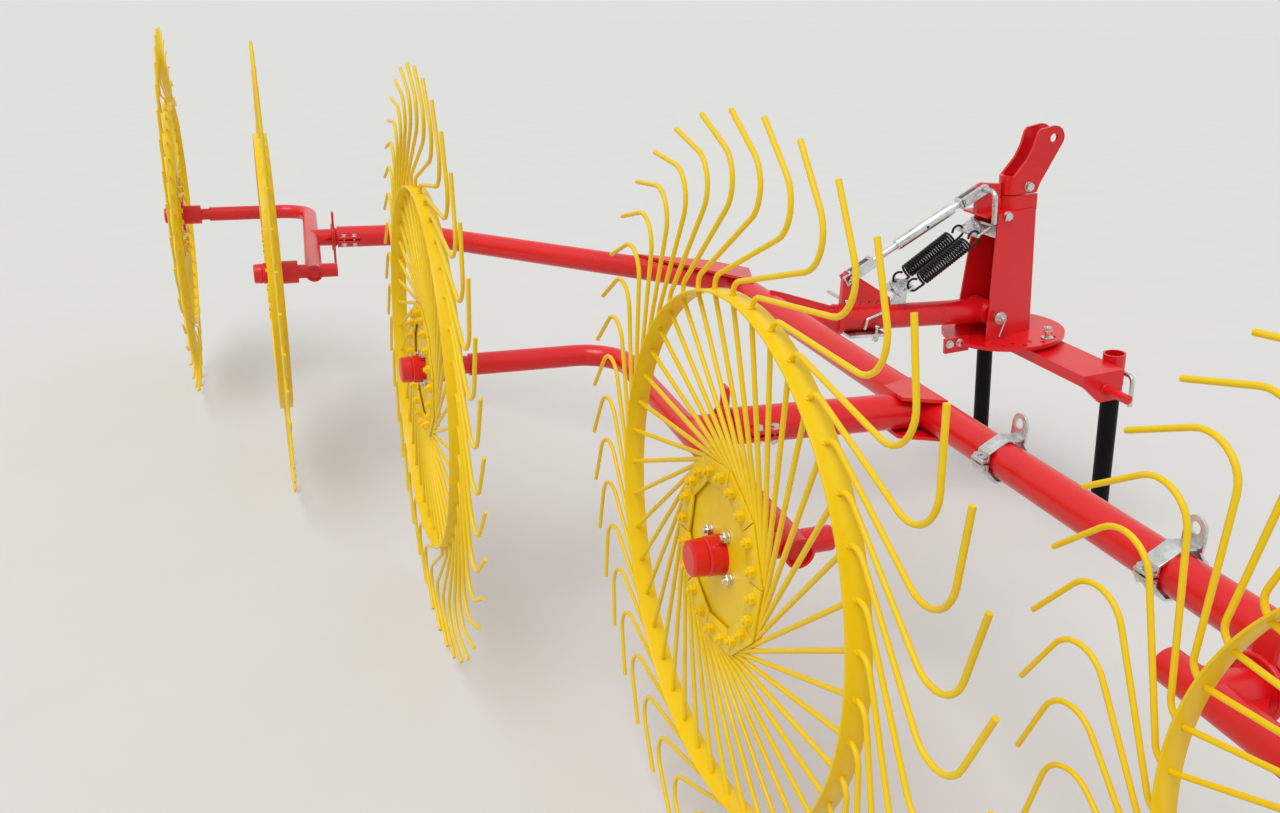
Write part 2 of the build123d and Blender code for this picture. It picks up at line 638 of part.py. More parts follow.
# Column that swivels on the mast: one plate folded round it, open to the rear, wider at its foot
def column_section(front, rear):
    """Section of the folded plate between its front fold and its free rear edges."""
    front_half, front_y = front
    rear_half, rear_y = rear
    wall = column_plate
    right = [(front_half, front_y), (rear_half, rear_y), (rear_half - wall, rear_y),
             (front_half - wall, front_y - wall)]
    left = [(-x, y) for x, y in reversed(right)]
    return Pos(hitch_x, 0) * make_face(Polyline(*right, *left, close=True))


column = loft([Pos(0, 0, disc_top) * column_section(column_front_foot, column_rear_foot),
               Pos(0, 0, column_top) * column_section(column_front_top, column_rear_top)], ruled=True)
foot_block = block(hitch_x - head_half, hitch_x + head_half, mast_y, column_front_foot[1] - column_plate,
                   disc_top, disc_top + foot_collar)
head_top = mast_shoulder - head_gap
head = rod_z(head_half, column_top, head_top, hitch_x, mast_y)
head += block(hitch_x - head_half, hitch_x + head_half, mast_y, head_front, column_top, head_top)
rear_top_half, rear_top_y = column_rear_top
front_top_half, front_top_y = column_front_top
cover = flat_plate([(hitch_x - rear_top_half, rear_top_y), (hitch_x + rear_top_half, rear_top_y),
                    (hitch_x + front_top_half, front_top_y), (hitch_x - front_top_half, front_top_y)],
                   column_top, column_plate)
lug_front = mast_y - head_half + column_plate
lug_tip_y = mast_y - ear_outer - bracket_clearance
lug = side_plate([(upper_pin_y - head_lug_rear, column_top + column_plate), (lug_front, column_top),
                  (lug_front, head_top - head_lug_rear), (lug_tip_y, head_top - bracket_clearance),
                  (lug_tip_y, upper_pin_z + lug_crown / 2), (upper_pin_y, upper_pin_z + lug_crown),
                  (upper_pin_y - lug_crown, upper_pin_z)], hitch_x, lug_thick)
lug_foot = block(hitch_x - rear_top_half, hitch_x + rear_top_half, upper_pin_y - head_lug_rear, rear_top_y,
                 column_top, column_top + column_plate)
column += head + foot_block + cover + lug + lug_foot
column -= rod_z(mast_radius + running_clearance, disc_bottom, mast_shoulder, hitch_x, mast_y)
column -= rod_x(hinge_pin_radius, hitch_x - disc_radius, hitch_x + disc_radius, hinge_y, arm_z)
column -= rod_x(turn_pin_radius, hitch_x - lug_thick, hitch_x + lug_thick, upper_pin_y, upper_pin_z)
keep_leaned("column", column)

disc = rod_z(disc_radius, disc_bottom, disc_top, hitch_x, mast_y)
disc -= rod_z(mast_radius + running_clearance, disc_bottom, disc_top, hitch_x, mast_y)
for i in range(disc_holes):
    angle = (i - (disc_holes - 1) / 2) * disc_hole_step
    dx, dy = on_circle(disc_rows[i % 2], angle)
    disc -= rod_z(disc_hole_radius, disc_bottom, disc_top, hitch_x + dx, mast_y + dy)
keep_leaned("swivel_disc", disc)

# Lug behind the disc that limits the arm's swing
stop_y = mast_y - disc_radius
stop_lug = block(hitch_x + stop_lug_x - stop_lug_thick / 2, hitch_x + stop_lug_x + stop_lug_thick / 2,
                 stop_y - stop_lug_half, stop_y + stop_lug_half, disc_bottom - stop_lug_height / 2,
                 disc_top + stop_lug_height / 4)
stop_lug -= rod_z(disc_radius, disc_bottom, disc_top, hitch_x, mast_y)
keep_leaned("stop_lug", stop_lug)

# Hinge pins of the arm, carried by the column
hinge_share = (arm_z - disc_top) / (column_top - disc_top)


def column_half_at(y, share):
    """Outer half width of the column at y, a share of the way up."""
    front_half, front_y = [a + (b - a) * share for a, b in zip(column_front_foot, column_front_top)]
    rear_half, rear_y = [a + (b - a) * share for a, b in zip(column_rear_foot, column_rear_top)]
    return front_half + (front_y - y) / (front_y - rear_y) * (rear_half - front_half)


pin_reach = column_half_at(hinge_y, hinge_share) + pin_stand_out
for suffix, side in (("left", -1), ("right", 1)):
    pin = rod_x(hinge_pin_radius, hitch_x + side * hinge_pin_inner, hitch_x + side * pin_reach,
                hinge_y, arm_z)
    keep_leaned(f"hinge_pin_{suffix}", pin)

# Spring anchor on the column: cross plate between the side plates, tongue and hook rod
anchor_share = (spring_upper_z + anchor_half_height - disc_top) / (column_top - disc_top)
anchor_y = spring_upper_y + anchor_set_back
anchor_half = column_half_at(anchor_y + anchor_thick, anchor_share) - column_plate - clevis_gap
upper_anchor = block(hitch_x - anchor_half, hitch_x + anchor_half, anchor_y, anchor_y + anchor_thick,
                     spring_upper_z - anchor_half_height, spring_upper_z + anchor_half_height)
upper_anchor += rod_x(anchor_rod, hitch_x - hook_rod_half, hitch_x + hook_rod_half,
                      spring_upper_y, spring_upper_z)
upper_anchor += block(hitch_x - anchor_thick / 2, hitch_x + anchor_thick / 2, spring_upper_y, anchor_y,
                      spring_upper_z - anchor_tongue, spring_upper_z + anchor_tongue)
keep_leaned("spring_anchor_upper", upper_anchor)


# Turnbuckle, along the line from its upper pin to its lower pin
def on_turnbuckle(shape):
    """From a frame with X down the turnbuckle and the upper pin at the origin to its place."""
    return Pos(hitch_x, pin_y, pin_z) * Rot(0, 0, -90) * Rot(0, turn_angle, 0) * shape


def clevis(start, end):
    """Two plates with an eye at start, joined by a cross block at end."""
    direction = 1 if end > start else -1
    eye_reach = lug_thick / 2 + clevis_gap
    shape = block(end, end + direction * clevis_block, -clevis_half, clevis_half,
                  -clevis_half_height, clevis_half_height)
    for side in (-1, 1):
        y0, y1 = sorted((side * eye_reach, side * clevis_half))
        shape += block(start, end, y0, y1, -clevis_half_height, clevis_half_height)
        shape += rod_y(clevis_half_height, y0, y1, start, 0)
    return shape


body_end = body_start + body_length
upper = clevis(0, clevis_arm)
upper -= rod_y(turn_pin_radius + running_clearance, -cut, cut, 0, 0)
upper += rod_x(rod_radius, clevis_arm + clevis_block, body_start, 0, 0)
upper += rod_x(body_radius, body_start, body_end, 0, 0)
upper -= rod_x(rod_radius + running_clearance, body_end - rod_overlap - rod_travel, body_end, 0, 0)
keep("turnbuckle_body", on_turnbuckle(upper))

lower = clevis(turn_length, turn_length - clevis_arm)
nose = block(turn_length, turn_length + clevis_nose, -clevis_half, clevis_half,
             -clevis_half_height, clevis_half_height)
inside = lug_thick / 2 + clevis_gap
lower += nose - block(turn_length, turn_length + clevis_nose, -inside, inside, -cut, cut)
lower -= block(turn_length - turn_pin_slot, turn_length + turn_pin_slot, -clevis_half, clevis_half,
               -turn_slot_half_height, turn_slot_half_height)
lower += rod_x(rod_radius, body_end - rod_overlap, turn_length - clevis_arm - clevis_rod_lap, 0, 0)
keep("turnbuckle_rod", on_turnbuckle(lower))

handle_x = hitch_x + rear_top_half + turn_pin_radius + handle_gap
upper_pin = rod_x(turn_pin_radius, hitch_x - clevis_half - pin_overhang_upper, handle_x,
                  upper_pin_y, upper_pin_z)
upper_pin += Pos(handle_x, upper_pin_y, upper_pin_z) * Sphere(turn_pin_radius)
upper_pin += rod_z(turn_pin_radius, upper_pin_z - handle_drop, upper_pin_z, handle_x, upper_pin_y)
keep_leaned("upper_pin", upper_pin)

# Springs between their anchors
for suffix, side in (("left", -1), ("right", 1)):
    coil = rod_x(spring_radius, spring_eye_gap, spring_length - spring_eye_gap, 0, 0)
    hook_start = anchor_rod + spring_seat_gap
    coil += rod_x(spring_wire, hook_start, spring_length - hook_start, 0, 0)
    place = Pos(hitch_x + side * spring_half_pitch, hook_y, hook_z) * Rot(0, 0, -90) * Rot(0, spring_angle, 0)
    keep(f"spring_{suffix}", place * coil)

for name, shape in parts.items():
    export_step(shape, f"parts/{name}.step")
whole = Compound(children=[s for s in parts.values()]).bounding_box()
print(len(parts), "parts, box", whole.min, whole.max)
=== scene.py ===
# %% [markdown]
# This notebook dresses the imported solids of a five-wheel hay tedder. The solids already have the right
# places, so every piece made here is put where the solids say and then rides on one of their bodies. The
# frame is loaded first, because nothing can be placed without it.

# %% Load the frame
import json
from math import acos, atan2, cos, degrees, hypot, pi, radians, sin, sqrt, tan

import bpy
from mathutils import Matrix, Vector


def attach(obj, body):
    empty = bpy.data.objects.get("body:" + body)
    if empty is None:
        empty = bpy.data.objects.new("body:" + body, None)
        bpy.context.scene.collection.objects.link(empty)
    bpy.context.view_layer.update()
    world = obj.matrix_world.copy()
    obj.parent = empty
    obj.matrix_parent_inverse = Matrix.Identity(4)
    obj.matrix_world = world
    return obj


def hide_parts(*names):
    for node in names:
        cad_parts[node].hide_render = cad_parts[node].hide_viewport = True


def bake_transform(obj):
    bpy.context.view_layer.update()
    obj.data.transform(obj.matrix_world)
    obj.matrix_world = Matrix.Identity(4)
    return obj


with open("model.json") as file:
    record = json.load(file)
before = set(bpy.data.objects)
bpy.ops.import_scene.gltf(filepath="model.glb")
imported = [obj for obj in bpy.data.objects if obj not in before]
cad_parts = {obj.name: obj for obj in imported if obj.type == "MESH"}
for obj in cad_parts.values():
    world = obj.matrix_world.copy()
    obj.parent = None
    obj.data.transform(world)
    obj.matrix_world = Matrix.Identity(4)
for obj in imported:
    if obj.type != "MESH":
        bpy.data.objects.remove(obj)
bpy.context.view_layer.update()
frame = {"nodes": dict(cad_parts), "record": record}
nodes = frame["nodes"]

# %% [markdown]
# The photograph was taken by a standing visitor behind the fourth wheel. A camera is a place, a lens and
# three turns, and these were worked out from the outlines of the five like wheels. The lens is given for a 36
# mm wide sensor, so it holds for any size of picture.

# %% Camera
camera_place = Vector((2.49, -0.905, 1.536))
camera_lens = 30.3
camera_heading = radians(72.62)
camera_pitch = radians(-20.64)
camera_roll = radians(1.54)

camera_data = bpy.data.cameras.new("visitor_camera")
camera_data.lens = camera_lens
camera_data.clip_end = 100.0
camera = bpy.data.objects.new("visitor_camera", camera_data)
camera.matrix_world = (Matrix.Translation(camera_place) @ Matrix.Rotation(camera_heading, 4, "Z")
                       @ Matrix.Rotation(radians(90) + camera_pitch, 4, "X")
                       @ Matrix.Rotation(camera_roll, 4, "Z"))
bpy.context.scene.collection.objects.link(camera)
bpy.context.scene.camera = camera
bpy.context.scene.view_settings.view_transform = "Standard"
print("camera at", tuple(camera_place))

# %% [markdown]
# Colours are written as sRGB hex values, the way a paint chart gives them, but shaders work in linear light.
# One function turns the first into the second. A second small function adds a node with its settings and
# links, so that a material reads as a short list.

# %% Colour and node helpers
def linear(hex_value):
    """Linear colour of an sRGB hex value."""
    channels = [int(hex_value[i:i + 2], 16) / 255 for i in (1, 3, 5)]
    return tuple(c / 12.92 if c <= 0.04045 else ((c + 0.055) / 1.055) ** 2.4 for c in channels) + (1.0,)


def add_node(tree, kind, settings, inputs):
    """Add a node, set its options and set or link its inputs."""
    made = tree.nodes.new(kind)
    for key, value in settings.items():
        setattr(made, key, value)
    for key, value in inputs.items():
        if isinstance(value, bpy.types.NodeSocket):
            tree.links.new(value, made.inputs[key])
        else:
            made.inputs[key].default_value = value
    return made


def ramp(tree, factor, stops):
    """Colour ramp through (position, hex) stops."""
    made = add_node(tree, "ShaderNodeValToRGB", {}, {"Fac": factor})
    elements = made.color_ramp.elements
    while len(elements) < len(stops):
        elements.new(0.5)
    for element, (position, hex_value) in zip(elements, stops):
        element.position = position
        element.color = linear(hex_value)
    return made.outputs["Color"]


def start_material(name):
    """New material that reads Object coordinates: the material, its tree, shader and coordinates."""
    material = bpy.data.materials.new(name)
    material.use_nodes = True
    tree = material.node_tree
    shader = tree.nodes["Principled BSDF"]
    where = add_node(tree, "ShaderNodeTexCoord", {}, {}).outputs["Object"]
    return material, tree, shader, where


print("helpers ready")

# %% [markdown]
# The frame and the wheels are powder coated: a resin dust is baked on the steel and melts to a thick, glossy
# skin. That gives the eye a strong colour with a clear reflection that is slightly broken by orange peel, a
# waviness about 3 mm across. New paint still varies a little: a film of dust lies on it in broad patches, and
# fine specks break its colour. Both come from noise on Object coordinates, with scales worked out from their
# size.

# %% Powder coat
peel_size = 0.004        # drawn a little coarser than the real orange peel, which is too fine to show
peel_depth = 0.0004
patch_size = 0.35
speck_size = 0.012
speck_share = 0.25


def powder_coat(name, deep, body, dusty, roughness, specular, coat):
    """Powder coat from three colours, a mean roughness and the strengths of its reflection and clear coat."""
    material, tree, shader, where = start_material(name)
    patches = add_node(tree, "ShaderNodeTexNoise", {},
                       {"Vector": where, "Scale": 1 / patch_size, "Detail": 4.0}).outputs["Fac"]
    specks = add_node(tree, "ShaderNodeTexNoise", {},
                      {"Vector": where, "Scale": 1 / speck_size, "Detail": 2.0}).outputs["Fac"]
    mixed = add_node(tree, "ShaderNodeMath", {"operation": "MULTIPLY_ADD"},
                     {0: specks, 1: speck_share, 2: patches})
    colour = ramp(tree, mixed.outputs[0], [(0.42, deep), (0.6, body), (0.88, dusty)])
    tree.links.new(colour, shader.inputs["Base Color"])
    rough = add_node(tree, "ShaderNodeMapRange", {},
                     {"Value": patches, "From Min": 0.3, "From Max": 0.7,
                      "To Min": roughness - 0.05, "To Max": roughness + 0.07})
    tree.links.new(rough.outputs[0], shader.inputs["Roughness"])
    peel = add_node(tree, "ShaderNodeTexNoise", {},
                    {"Vector": where, "Scale": 1 / peel_size, "Detail": 1.0}).outputs["Fac"]
    bump = add_node(tree, "ShaderNodeBump", {}, {"Height": peel, "Strength": 0.12, "Distance": peel_depth})
    tree.links.new(bump.outputs["Normal"], shader.inputs["Normal"])
    shader.inputs["IOR"].default_value = 1.5
    shader.inputs["Specular IOR Level"].default_value = specular
    shader.inputs["Coat Weight"].default_value = coat
    shader.inputs["Coat Roughness"].default_value = 0.08
    return material


red_coat = powder_coat("red_powder_coat", "#CC0A11", "#DC0D15", "#E0171F", 0.28, 0.5, 0.1)
yellow_coat = powder_coat("yellow_powder_coat", "#E5BC02", "#F0C906", "#F3CE16", 0.36, 0.35, 0.0)
black_coat = powder_coat("black_powder_coat", "#050506", "#08080A", "#101113", 0.45, 0.12, 0.0)
spring_black = powder_coat("black_spring_enamel", "#08090B", "#0F1114", "#191B1F", 0.38, 0.3, 0.0)
print("powder coats", red_coat.name, yellow_coat.name, black_coat.name, spring_black.name)

# %% [markdown]
# Pins, clamps and the turnbuckle are zinc plated steel, and the bolts too. Hot-dip zinc freezes in crystals,
# the spangle, about 8 mm across, each a slightly different grey. Electroplated zinc is smoother and brighter.
# Both are metals, so they keep the default IOR and get their look from a metallic shader whose grey and
# roughness vary.

# %% Zinc
spangle_size = 0.008
plating_size = 0.003


def zinc_plate(name, dark, light, roughness, cell):
    """Zinc finish from two greys, a mean roughness and the size of its crystals."""
    material, tree, shader, where = start_material(name)
    cells = add_node(tree, "ShaderNodeTexVoronoi", {}, {"Vector": where, "Scale": 1 / cell})
    haze = add_node(tree, "ShaderNodeTexNoise", {}, {"Vector": where, "Scale": 1 / (6 * cell), "Detail": 3.0})
    shade = add_node(tree, "ShaderNodeMath", {"operation": "MULTIPLY_ADD"},
                     {0: cells.outputs["Color"], 1: 0.45, 2: haze.outputs["Fac"]})
    tree.links.new(ramp(tree, shade.outputs[0], [(0.45, dark), (0.95, light)]), shader.inputs["Base Color"])
    rough = add_node(tree, "ShaderNodeMapRange", {},
                     {"Value": haze.outputs["Fac"], "From Min": 0.3, "From Max": 0.7,
                      "To Min": roughness - 0.06, "To Max": roughness + 0.1})
    tree.links.new(rough.outputs[0], shader.inputs["Roughness"])
    shader.inputs["Metallic"].default_value = 1.0
    return material


galvanised = zinc_plate("galvanised_steel", "#BFC4C6", "#E6E9EA", 0.36, spangle_size)
bright_zinc = zinc_plate("zinc_plated_bolt_steel", "#C2C4C3", "#E4E5E3", 0.28, plating_size)
print("zinc finishes", galvanised.name, bright_zinc.name)

# %% [markdown]
# The solids that are already right keep their meshes and only get their finish, by the material slot that the
# record names for each. Pins with a machined look take the brighter zinc.

# %% Finish the solids
finish_of_slot = {"red_paint": red_coat, "yellow_paint": yellow_coat, "black_paint": black_coat,
                  "zinc": galvanised}
slot_of_node = {part["node"]: part["material_slot"] for part in frame["record"]["subparts"]}
bright_nodes = {"lower_pin", "hinge_pin_left", "hinge_pin_right"}
for name, node in nodes.items():
    finish = bright_zinc if name in bright_nodes else finish_of_slot[slot_of_node[name]]
    node.data.materials.clear()
    node.data.materials.append(finish)
print("finished nodes", len(nodes))

# %% [markdown]
# Modelling by hand means adding a primitive, going into edit mode and using the operators there. An operator
# works on all that is selected, and the loaded solids are selected, so everything is deselected before each
# new piece. These helpers keep the steps short: one ends a piece, one joins pieces, one copies a piece with
# its own mesh to new places, and one lets it ride.

# %% Modelling helpers
def deselect_all():
    for chosen in bpy.context.selected_objects:
        chosen.select_set(False)


def pick(piece):
    """Make a piece the only selected and the active object."""
    deselect_all()
    piece.select_set(True)
    bpy.context.view_layer.objects.active = piece


def settle(piece, name, smooth_angle=30.0):
    """Name a new piece, put its place into its mesh and shade it smooth up to an angle."""
    pick(piece)
    piece.name = name
    piece.data.name = name
    bpy.ops.object.transform_apply(location=True, rotation=True, scale=True)
    bpy.ops.object.shade_smooth_by_angle(angle=radians(smooth_angle))
    return piece


def join(pieces, name):
    """Join pieces into one, which keeps its own smoothing."""
    deselect_all()
    for piece in pieces:
        piece.select_set(True)
    bpy.context.view_layer.objects.active = pieces[0]
    if len(pieces) > 1:
        bpy.ops.object.join()
    whole = bpy.context.object
    whole.name = name
    whole.data.name = name
    return whole


def copy_to(piece, place, name="copy"):
    """Copy of a piece with its own mesh, moved by a matrix."""
    twin = bpy.data.objects.new(name, piece.data.copy())
    bpy.context.scene.collection.objects.link(twin)
    twin.data.transform(place)
    return twin


def discard(piece):
    """Remove a piece that was only a pattern or a cutter, with its mesh."""
    mesh = piece.data
    bpy.data.objects.remove(piece)
    bpy.data.meshes.remove(mesh)


def edit(piece, kind, test):
    """Go into edit mode with only the faces or vertices selected that pass a test."""
    pick(piece)
    bpy.ops.object.mode_set(mode="EDIT")
    bpy.ops.mesh.select_mode(type=kind)
    bpy.ops.mesh.select_all(action="DESELECT")
    bpy.ops.object.mode_set(mode="OBJECT")
    for element in (piece.data.polygons if kind == "FACE" else piece.data.vertices):
        element.select = test(element)
    bpy.ops.object.mode_set(mode="EDIT")


def bevel(piece, width, segments=2, angle=30.0):
    """Round a piece's sharp edges with an applied bevel."""
    pick(piece)
    modifier = piece.modifiers.new("edge", "BEVEL")
    modifier.width = width
    modifier.segments = segments
    modifier.limit_method = "ANGLE"
    modifier.angle_limit = radians(angle)
    bpy.ops.object.modifier_apply(modifier=modifier.name)


def cut_out(piece, cutter):
    """Cut one piece's shape out of another and drop the cutter."""
    pick(piece)
    modifier = piece.modifiers.new("cut", "BOOLEAN")
    modifier.operation = "DIFFERENCE"
    modifier.solver = "EXACT"
    modifier.object = cutter
    bpy.ops.object.modifier_apply(modifier=modifier.name)
    discard(cutter)


def dress(piece, body, finish, replaced=()):
    """Give a piece its finish and slot and let it ride on a body."""
    piece.data.materials.clear()
    piece.data.materials.append(finish)
    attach(piece, body)
    if replaced:
        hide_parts(*replaced)


def box_piece(corner_a, corner_b, edge=0.0015):
    """Plate or block between two corners, its edges rounded."""
    a = Vector(corner_a)
    b = Vector(corner_b)
    deselect_all()
    bpy.ops.mesh.primitive_cube_add(size=1.0, location=(a + b) / 2)
    piece = bpy.context.object
    piece.scale = [abs(x) for x in b - a]
    settle(piece, "plate")
    if edge:
        bevel(piece, edge)
    return piece


def rod_piece(radius, start, end, sides=32, edge=0.001):
    """Round bar between two points, its end edges rounded."""
    a = Vector(start)
    b = Vector(end)
    deselect_all()
    bpy.ops.mesh.primitive_cylinder_add(vertices=sides, radius=radius, depth=(b - a).length,
                                        location=(a + b) / 2,
                                        rotation=(b - a).to_track_quat("Z", "Y").to_euler())
    piece = settle(bpy.context.object, "bar", 60.0)
    if edge:
        bevel(piece, edge, 2, 60.0)
        settle(piece, "bar", 50.0)
    return piece


print("modelling helpers ready")

# %% [markdown]
# Much of this machine is bent wire: the tines, the springs' hooks, the split pins and the clips. Such a piece
# is drawn the way a wire bender works: a ring of vertices is extruded along each straight and spun round each
# bend. The spin operator turns clockwise for a positive angle, so the angle is given negative. At the end
# both ends are closed.

# %% Bent wire
def bent_wire(points, radius, bends, sides=8, step_angle=12.0):
    """Round wire through points; bends gives the bend radius at each inner point."""
    points = [Vector(p) for p in points]
    heading = (points[1] - points[0]).normalized()
    deselect_all()
    bpy.ops.mesh.primitive_circle_add(vertices=sides, radius=radius, fill_type="NOTHING", location=points[0],
                                      rotation=heading.to_track_quat("Z", "Y").to_euler())
    wire = bpy.context.object
    bpy.ops.object.transform_apply(location=True, rotation=True, scale=True)
    edit(wire, "VERT", lambda vertex: True)
    here = points[0]
    for corner, after, bend in zip(points[1:-1], points[2:], bends):
        onward = (after - corner).normalized()
        turn = heading.angle(onward)
        tangent = bend * tan(turn / 2)
        stop = corner - heading * tangent
        bpy.ops.mesh.extrude_region_move(TRANSFORM_OT_translate={"value": stop - here})
        axis = heading.cross(onward).normalized()
        steps = max(2, round(degrees(turn) / step_angle))
        bpy.ops.mesh.spin(steps=steps, angle=-turn, center=stop + axis.cross(heading) * bend, axis=axis)
        here = corner + onward * tangent
        heading = onward
    bpy.ops.mesh.extrude_region_move(TRANSFORM_OT_translate={"value": points[-1] - here})
    bpy.ops.mesh.select_all(action="SELECT")
    bpy.ops.mesh.remove_doubles(threshold=1e-6)
    bpy.ops.mesh.fill_holes(sides=0)
    bpy.ops.mesh.normals_make_consistent(inside=False)
    bpy.ops.object.mode_set(mode="OBJECT")
    return settle(wire, "wire", 60.0)


print("wire bender ready")

# %% [markdown]
# A hexagon bolt's head is a six-sided prism whose top corners are chamfered, and it stands on a round washer.
# A nut is the same with the rounded end of its bolt above it. One function makes a head and a nut for each
# size of thread on the machine, and every fastener is a copy of one of them, so that each is modelled once.

# %% Bolts
def hex_bolt(flats, head, washer, gauge, end=0.0):
    """Head or nut on its washer, standing on z = 0; end is the length of thread that shows over a nut."""
    deselect_all()
    bpy.ops.mesh.primitive_cylinder_add(vertices=6, radius=flats / sqrt(3), depth=head,
                                        location=(0, 0, gauge + head / 2))
    prism = bpy.context.object
    settle(prism, "prism")
    edit(prism, "FACE", lambda face: face.normal.z > 0.9)
    bpy.ops.mesh.bevel(offset=head * 0.16, segments=2, affect="EDGES")
    bpy.ops.object.mode_set(mode="OBJECT")
    pieces = [settle(prism, "prism", 20.0)]
    pieces.append(rod_piece(washer, (0, 0, 0), (0, 0, gauge), 24, 0.0004))
    if end:
        pieces.append(rod_piece(flats * 0.3, (0, 0, 0), (0, 0, gauge + head + end), 16, 0.0008))
    return join(pieces, "bolt")


def face_along(point, direction):
    """Matrix that stands a piece's Z axis on a point, pointing in a direction."""
    turn = Vector(direction).to_track_quat("Z", "Y").to_matrix().to_4x4()
    return Matrix.Translation(Vector(point)) @ turn


# Thread in mm: width across the flats, height of head and nut, radius and gauge of washer, end over the nut
bolt_sizes = {8: (0.013, 0.0055, 0.0065, 0.0085, 0.0014, 0.005),
              10: (0.017, 0.007, 0.008, 0.0105, 0.0016, 0.005),
              12: (0.019, 0.008, 0.010, 0.013, 0.0016, 0.006),
              16: (0.024, 0.010, 0.013, 0.015, 0.0025, 0.008)}
bolts = {}
nuts = {}
for thread, (flats, head, nut, washer, gauge, end) in bolt_sizes.items():
    bolts[thread] = hex_bolt(flats, head, washer, gauge)
    nuts[thread] = hex_bolt(flats, nut, washer, gauge, end)
print("bolts", len(bolts[10].data.polygons), "faces each")

# %% [markdown]
# The sizes of a wheel come from the solids: forty tines of 8.5 mm spring wire leave a ring near the hub along
# lines that miss the middle, pass a small knee through holes in the hoop and hook forward at the tip. One
# wheel is modelled flat about its own Z axis and then copied to the five places, which are turned a little
# from the beam.

# %% Wheel sizes and places
wheel_words = ["one", "two", "three", "four", "five"]
tine_count = 40
wire_radius = 0.00425
tip_radius = 0.700
hoop_radius = 0.430
hoop_wall = 0.004
hoop_width = 0.040
spoke_offset = 0.156     # how far a spoke's line passes from the middle
knee_radius = 0.447
heel_radius = 0.6094
hole_lead = 15.5         # the places round the wheel are angles ahead of the tip, in degrees
knee_lead = 16.4
heel_lag = -14.15
knee_bend = 0.026
heel_bend = 0.054
wheel_height = tip_radius * cos(radians(180 / tine_count))
middle_wheel = Vector((0, -0.669, wheel_height))
wheel_step = Vector((1.047, 0.361, 0))
toe = radians(2.7)


def on_circle(radius, angle, z=0.0):
    return Vector((radius * cos(radians(angle)), radius * sin(radians(angle)), z))


wheel_place = {}
for i, word in enumerate(wheel_words):
    centre = middle_wheel + wheel_step * (i - 2)
    wheel_place[word] = (Matrix.Translation(centre) @ Matrix.Rotation(toe, 4, "Z")
                         @ Matrix.Rotation(radians(90), 4, "X"))
print("wheel height", round(wheel_height, 4))

# %% [markdown]
# One tine is bent from wire and copied forty times round the wheel. Where it passes the hoop, the real wire
# is held by a punched hole with a raised lip, so a small collar stands round it there. The hoop is a flat
# steel band, which is an open cylinder given its wall by a Solidify modifier and soft edges by a Bevel.

# %% Tines and hoop
tip_inset = 0.0034
lip_gap = 0.0012
lip_thick = 0.0014
tine_step = 360 / tine_count
tine_turns = [Matrix.Rotation(radians(tine_step * (i + 0.5)), 4, "Z") for i in range(tine_count)]
spoke_start = on_circle(spoke_offset, hole_lead - degrees(acos(spoke_offset / (hoop_radius - hoop_wall / 2))))
knee = on_circle(knee_radius, knee_lead)
tine = bent_wire([spoke_start, knee, on_circle(heel_radius, heel_lag), on_circle(tip_radius - tip_inset, 0)],
                 wire_radius, [knee_bend, heel_bend], 8, 11.0)
tines = [copy_to(tine, turn) for turn in tine_turns]
discard(tine)

deselect_all()
bpy.ops.mesh.primitive_torus_add(major_radius=wire_radius + lip_gap, minor_radius=lip_thick,
                                 major_segments=12, minor_segments=4)
lip = settle(bpy.context.object, "lip", 60.0)
lip.data.transform(face_along(on_circle(hoop_radius, hole_lead), knee - spoke_start))
lips = [copy_to(lip, turn) for turn in tine_turns]
discard(lip)

deselect_all()
bpy.ops.mesh.primitive_cylinder_add(vertices=180, radius=hoop_radius, depth=hoop_width,
                                    end_fill_type="NOTHING")
hoop = bpy.context.object
wall = hoop.modifiers.new("wall", "SOLIDIFY")
wall.thickness = hoop_wall
wall.offset = -1.0
bpy.ops.object.modifier_apply(modifier=wall.name)
bevel(hoop, 0.0012, 2, 60.0)
settle(hoop, "hoop", 40.0)
tined_wheel = join([hoop] + tines + lips, "tined_wheel")
print("tined wheel triangles", sum(len(p.vertices) - 2 for p in tined_wheel.data.polygons))

# %% [markdown]
# The tines are gripped between a back plate and ten segments, which lie as a ring with straight edges on the
# wires' ends. Inside the ring a ten-sided centre plate lies a little deeper, so that its outline shows as a
# dark line. Twenty yellow bolts hold the segments, two on each.

# %% Clamp plates
segment_count = 10
segment_turn = 8.0
segment_step = 360 / segment_count
ring_corner = 0.164
plate_thick = 0.004
plate_face = wire_radius + plate_thick
opening_corner = 0.121
centre_corner = 0.138
centre_face = 0.0012
joint_width = 0.0018
plate_edge = 0.0007
bolt_circle = 0.138
bolt_count = 2 * segment_count
coil_ring_radius = 0.150
past = 0.01              # how far a cutter reaches past what it cuts


def ten_sided(corner, z0, z1):
    """Ten-sided plate about Z whose corners lie where the segments meet."""
    deselect_all()
    bpy.ops.mesh.primitive_cylinder_add(vertices=segment_count, radius=corner, depth=z1 - z0,
                                        location=(0, 0, (z0 + z1) / 2),
                                        rotation=(0, 0, radians(segment_turn - 90)))
    return settle(bpy.context.object, "plate", 20.0)


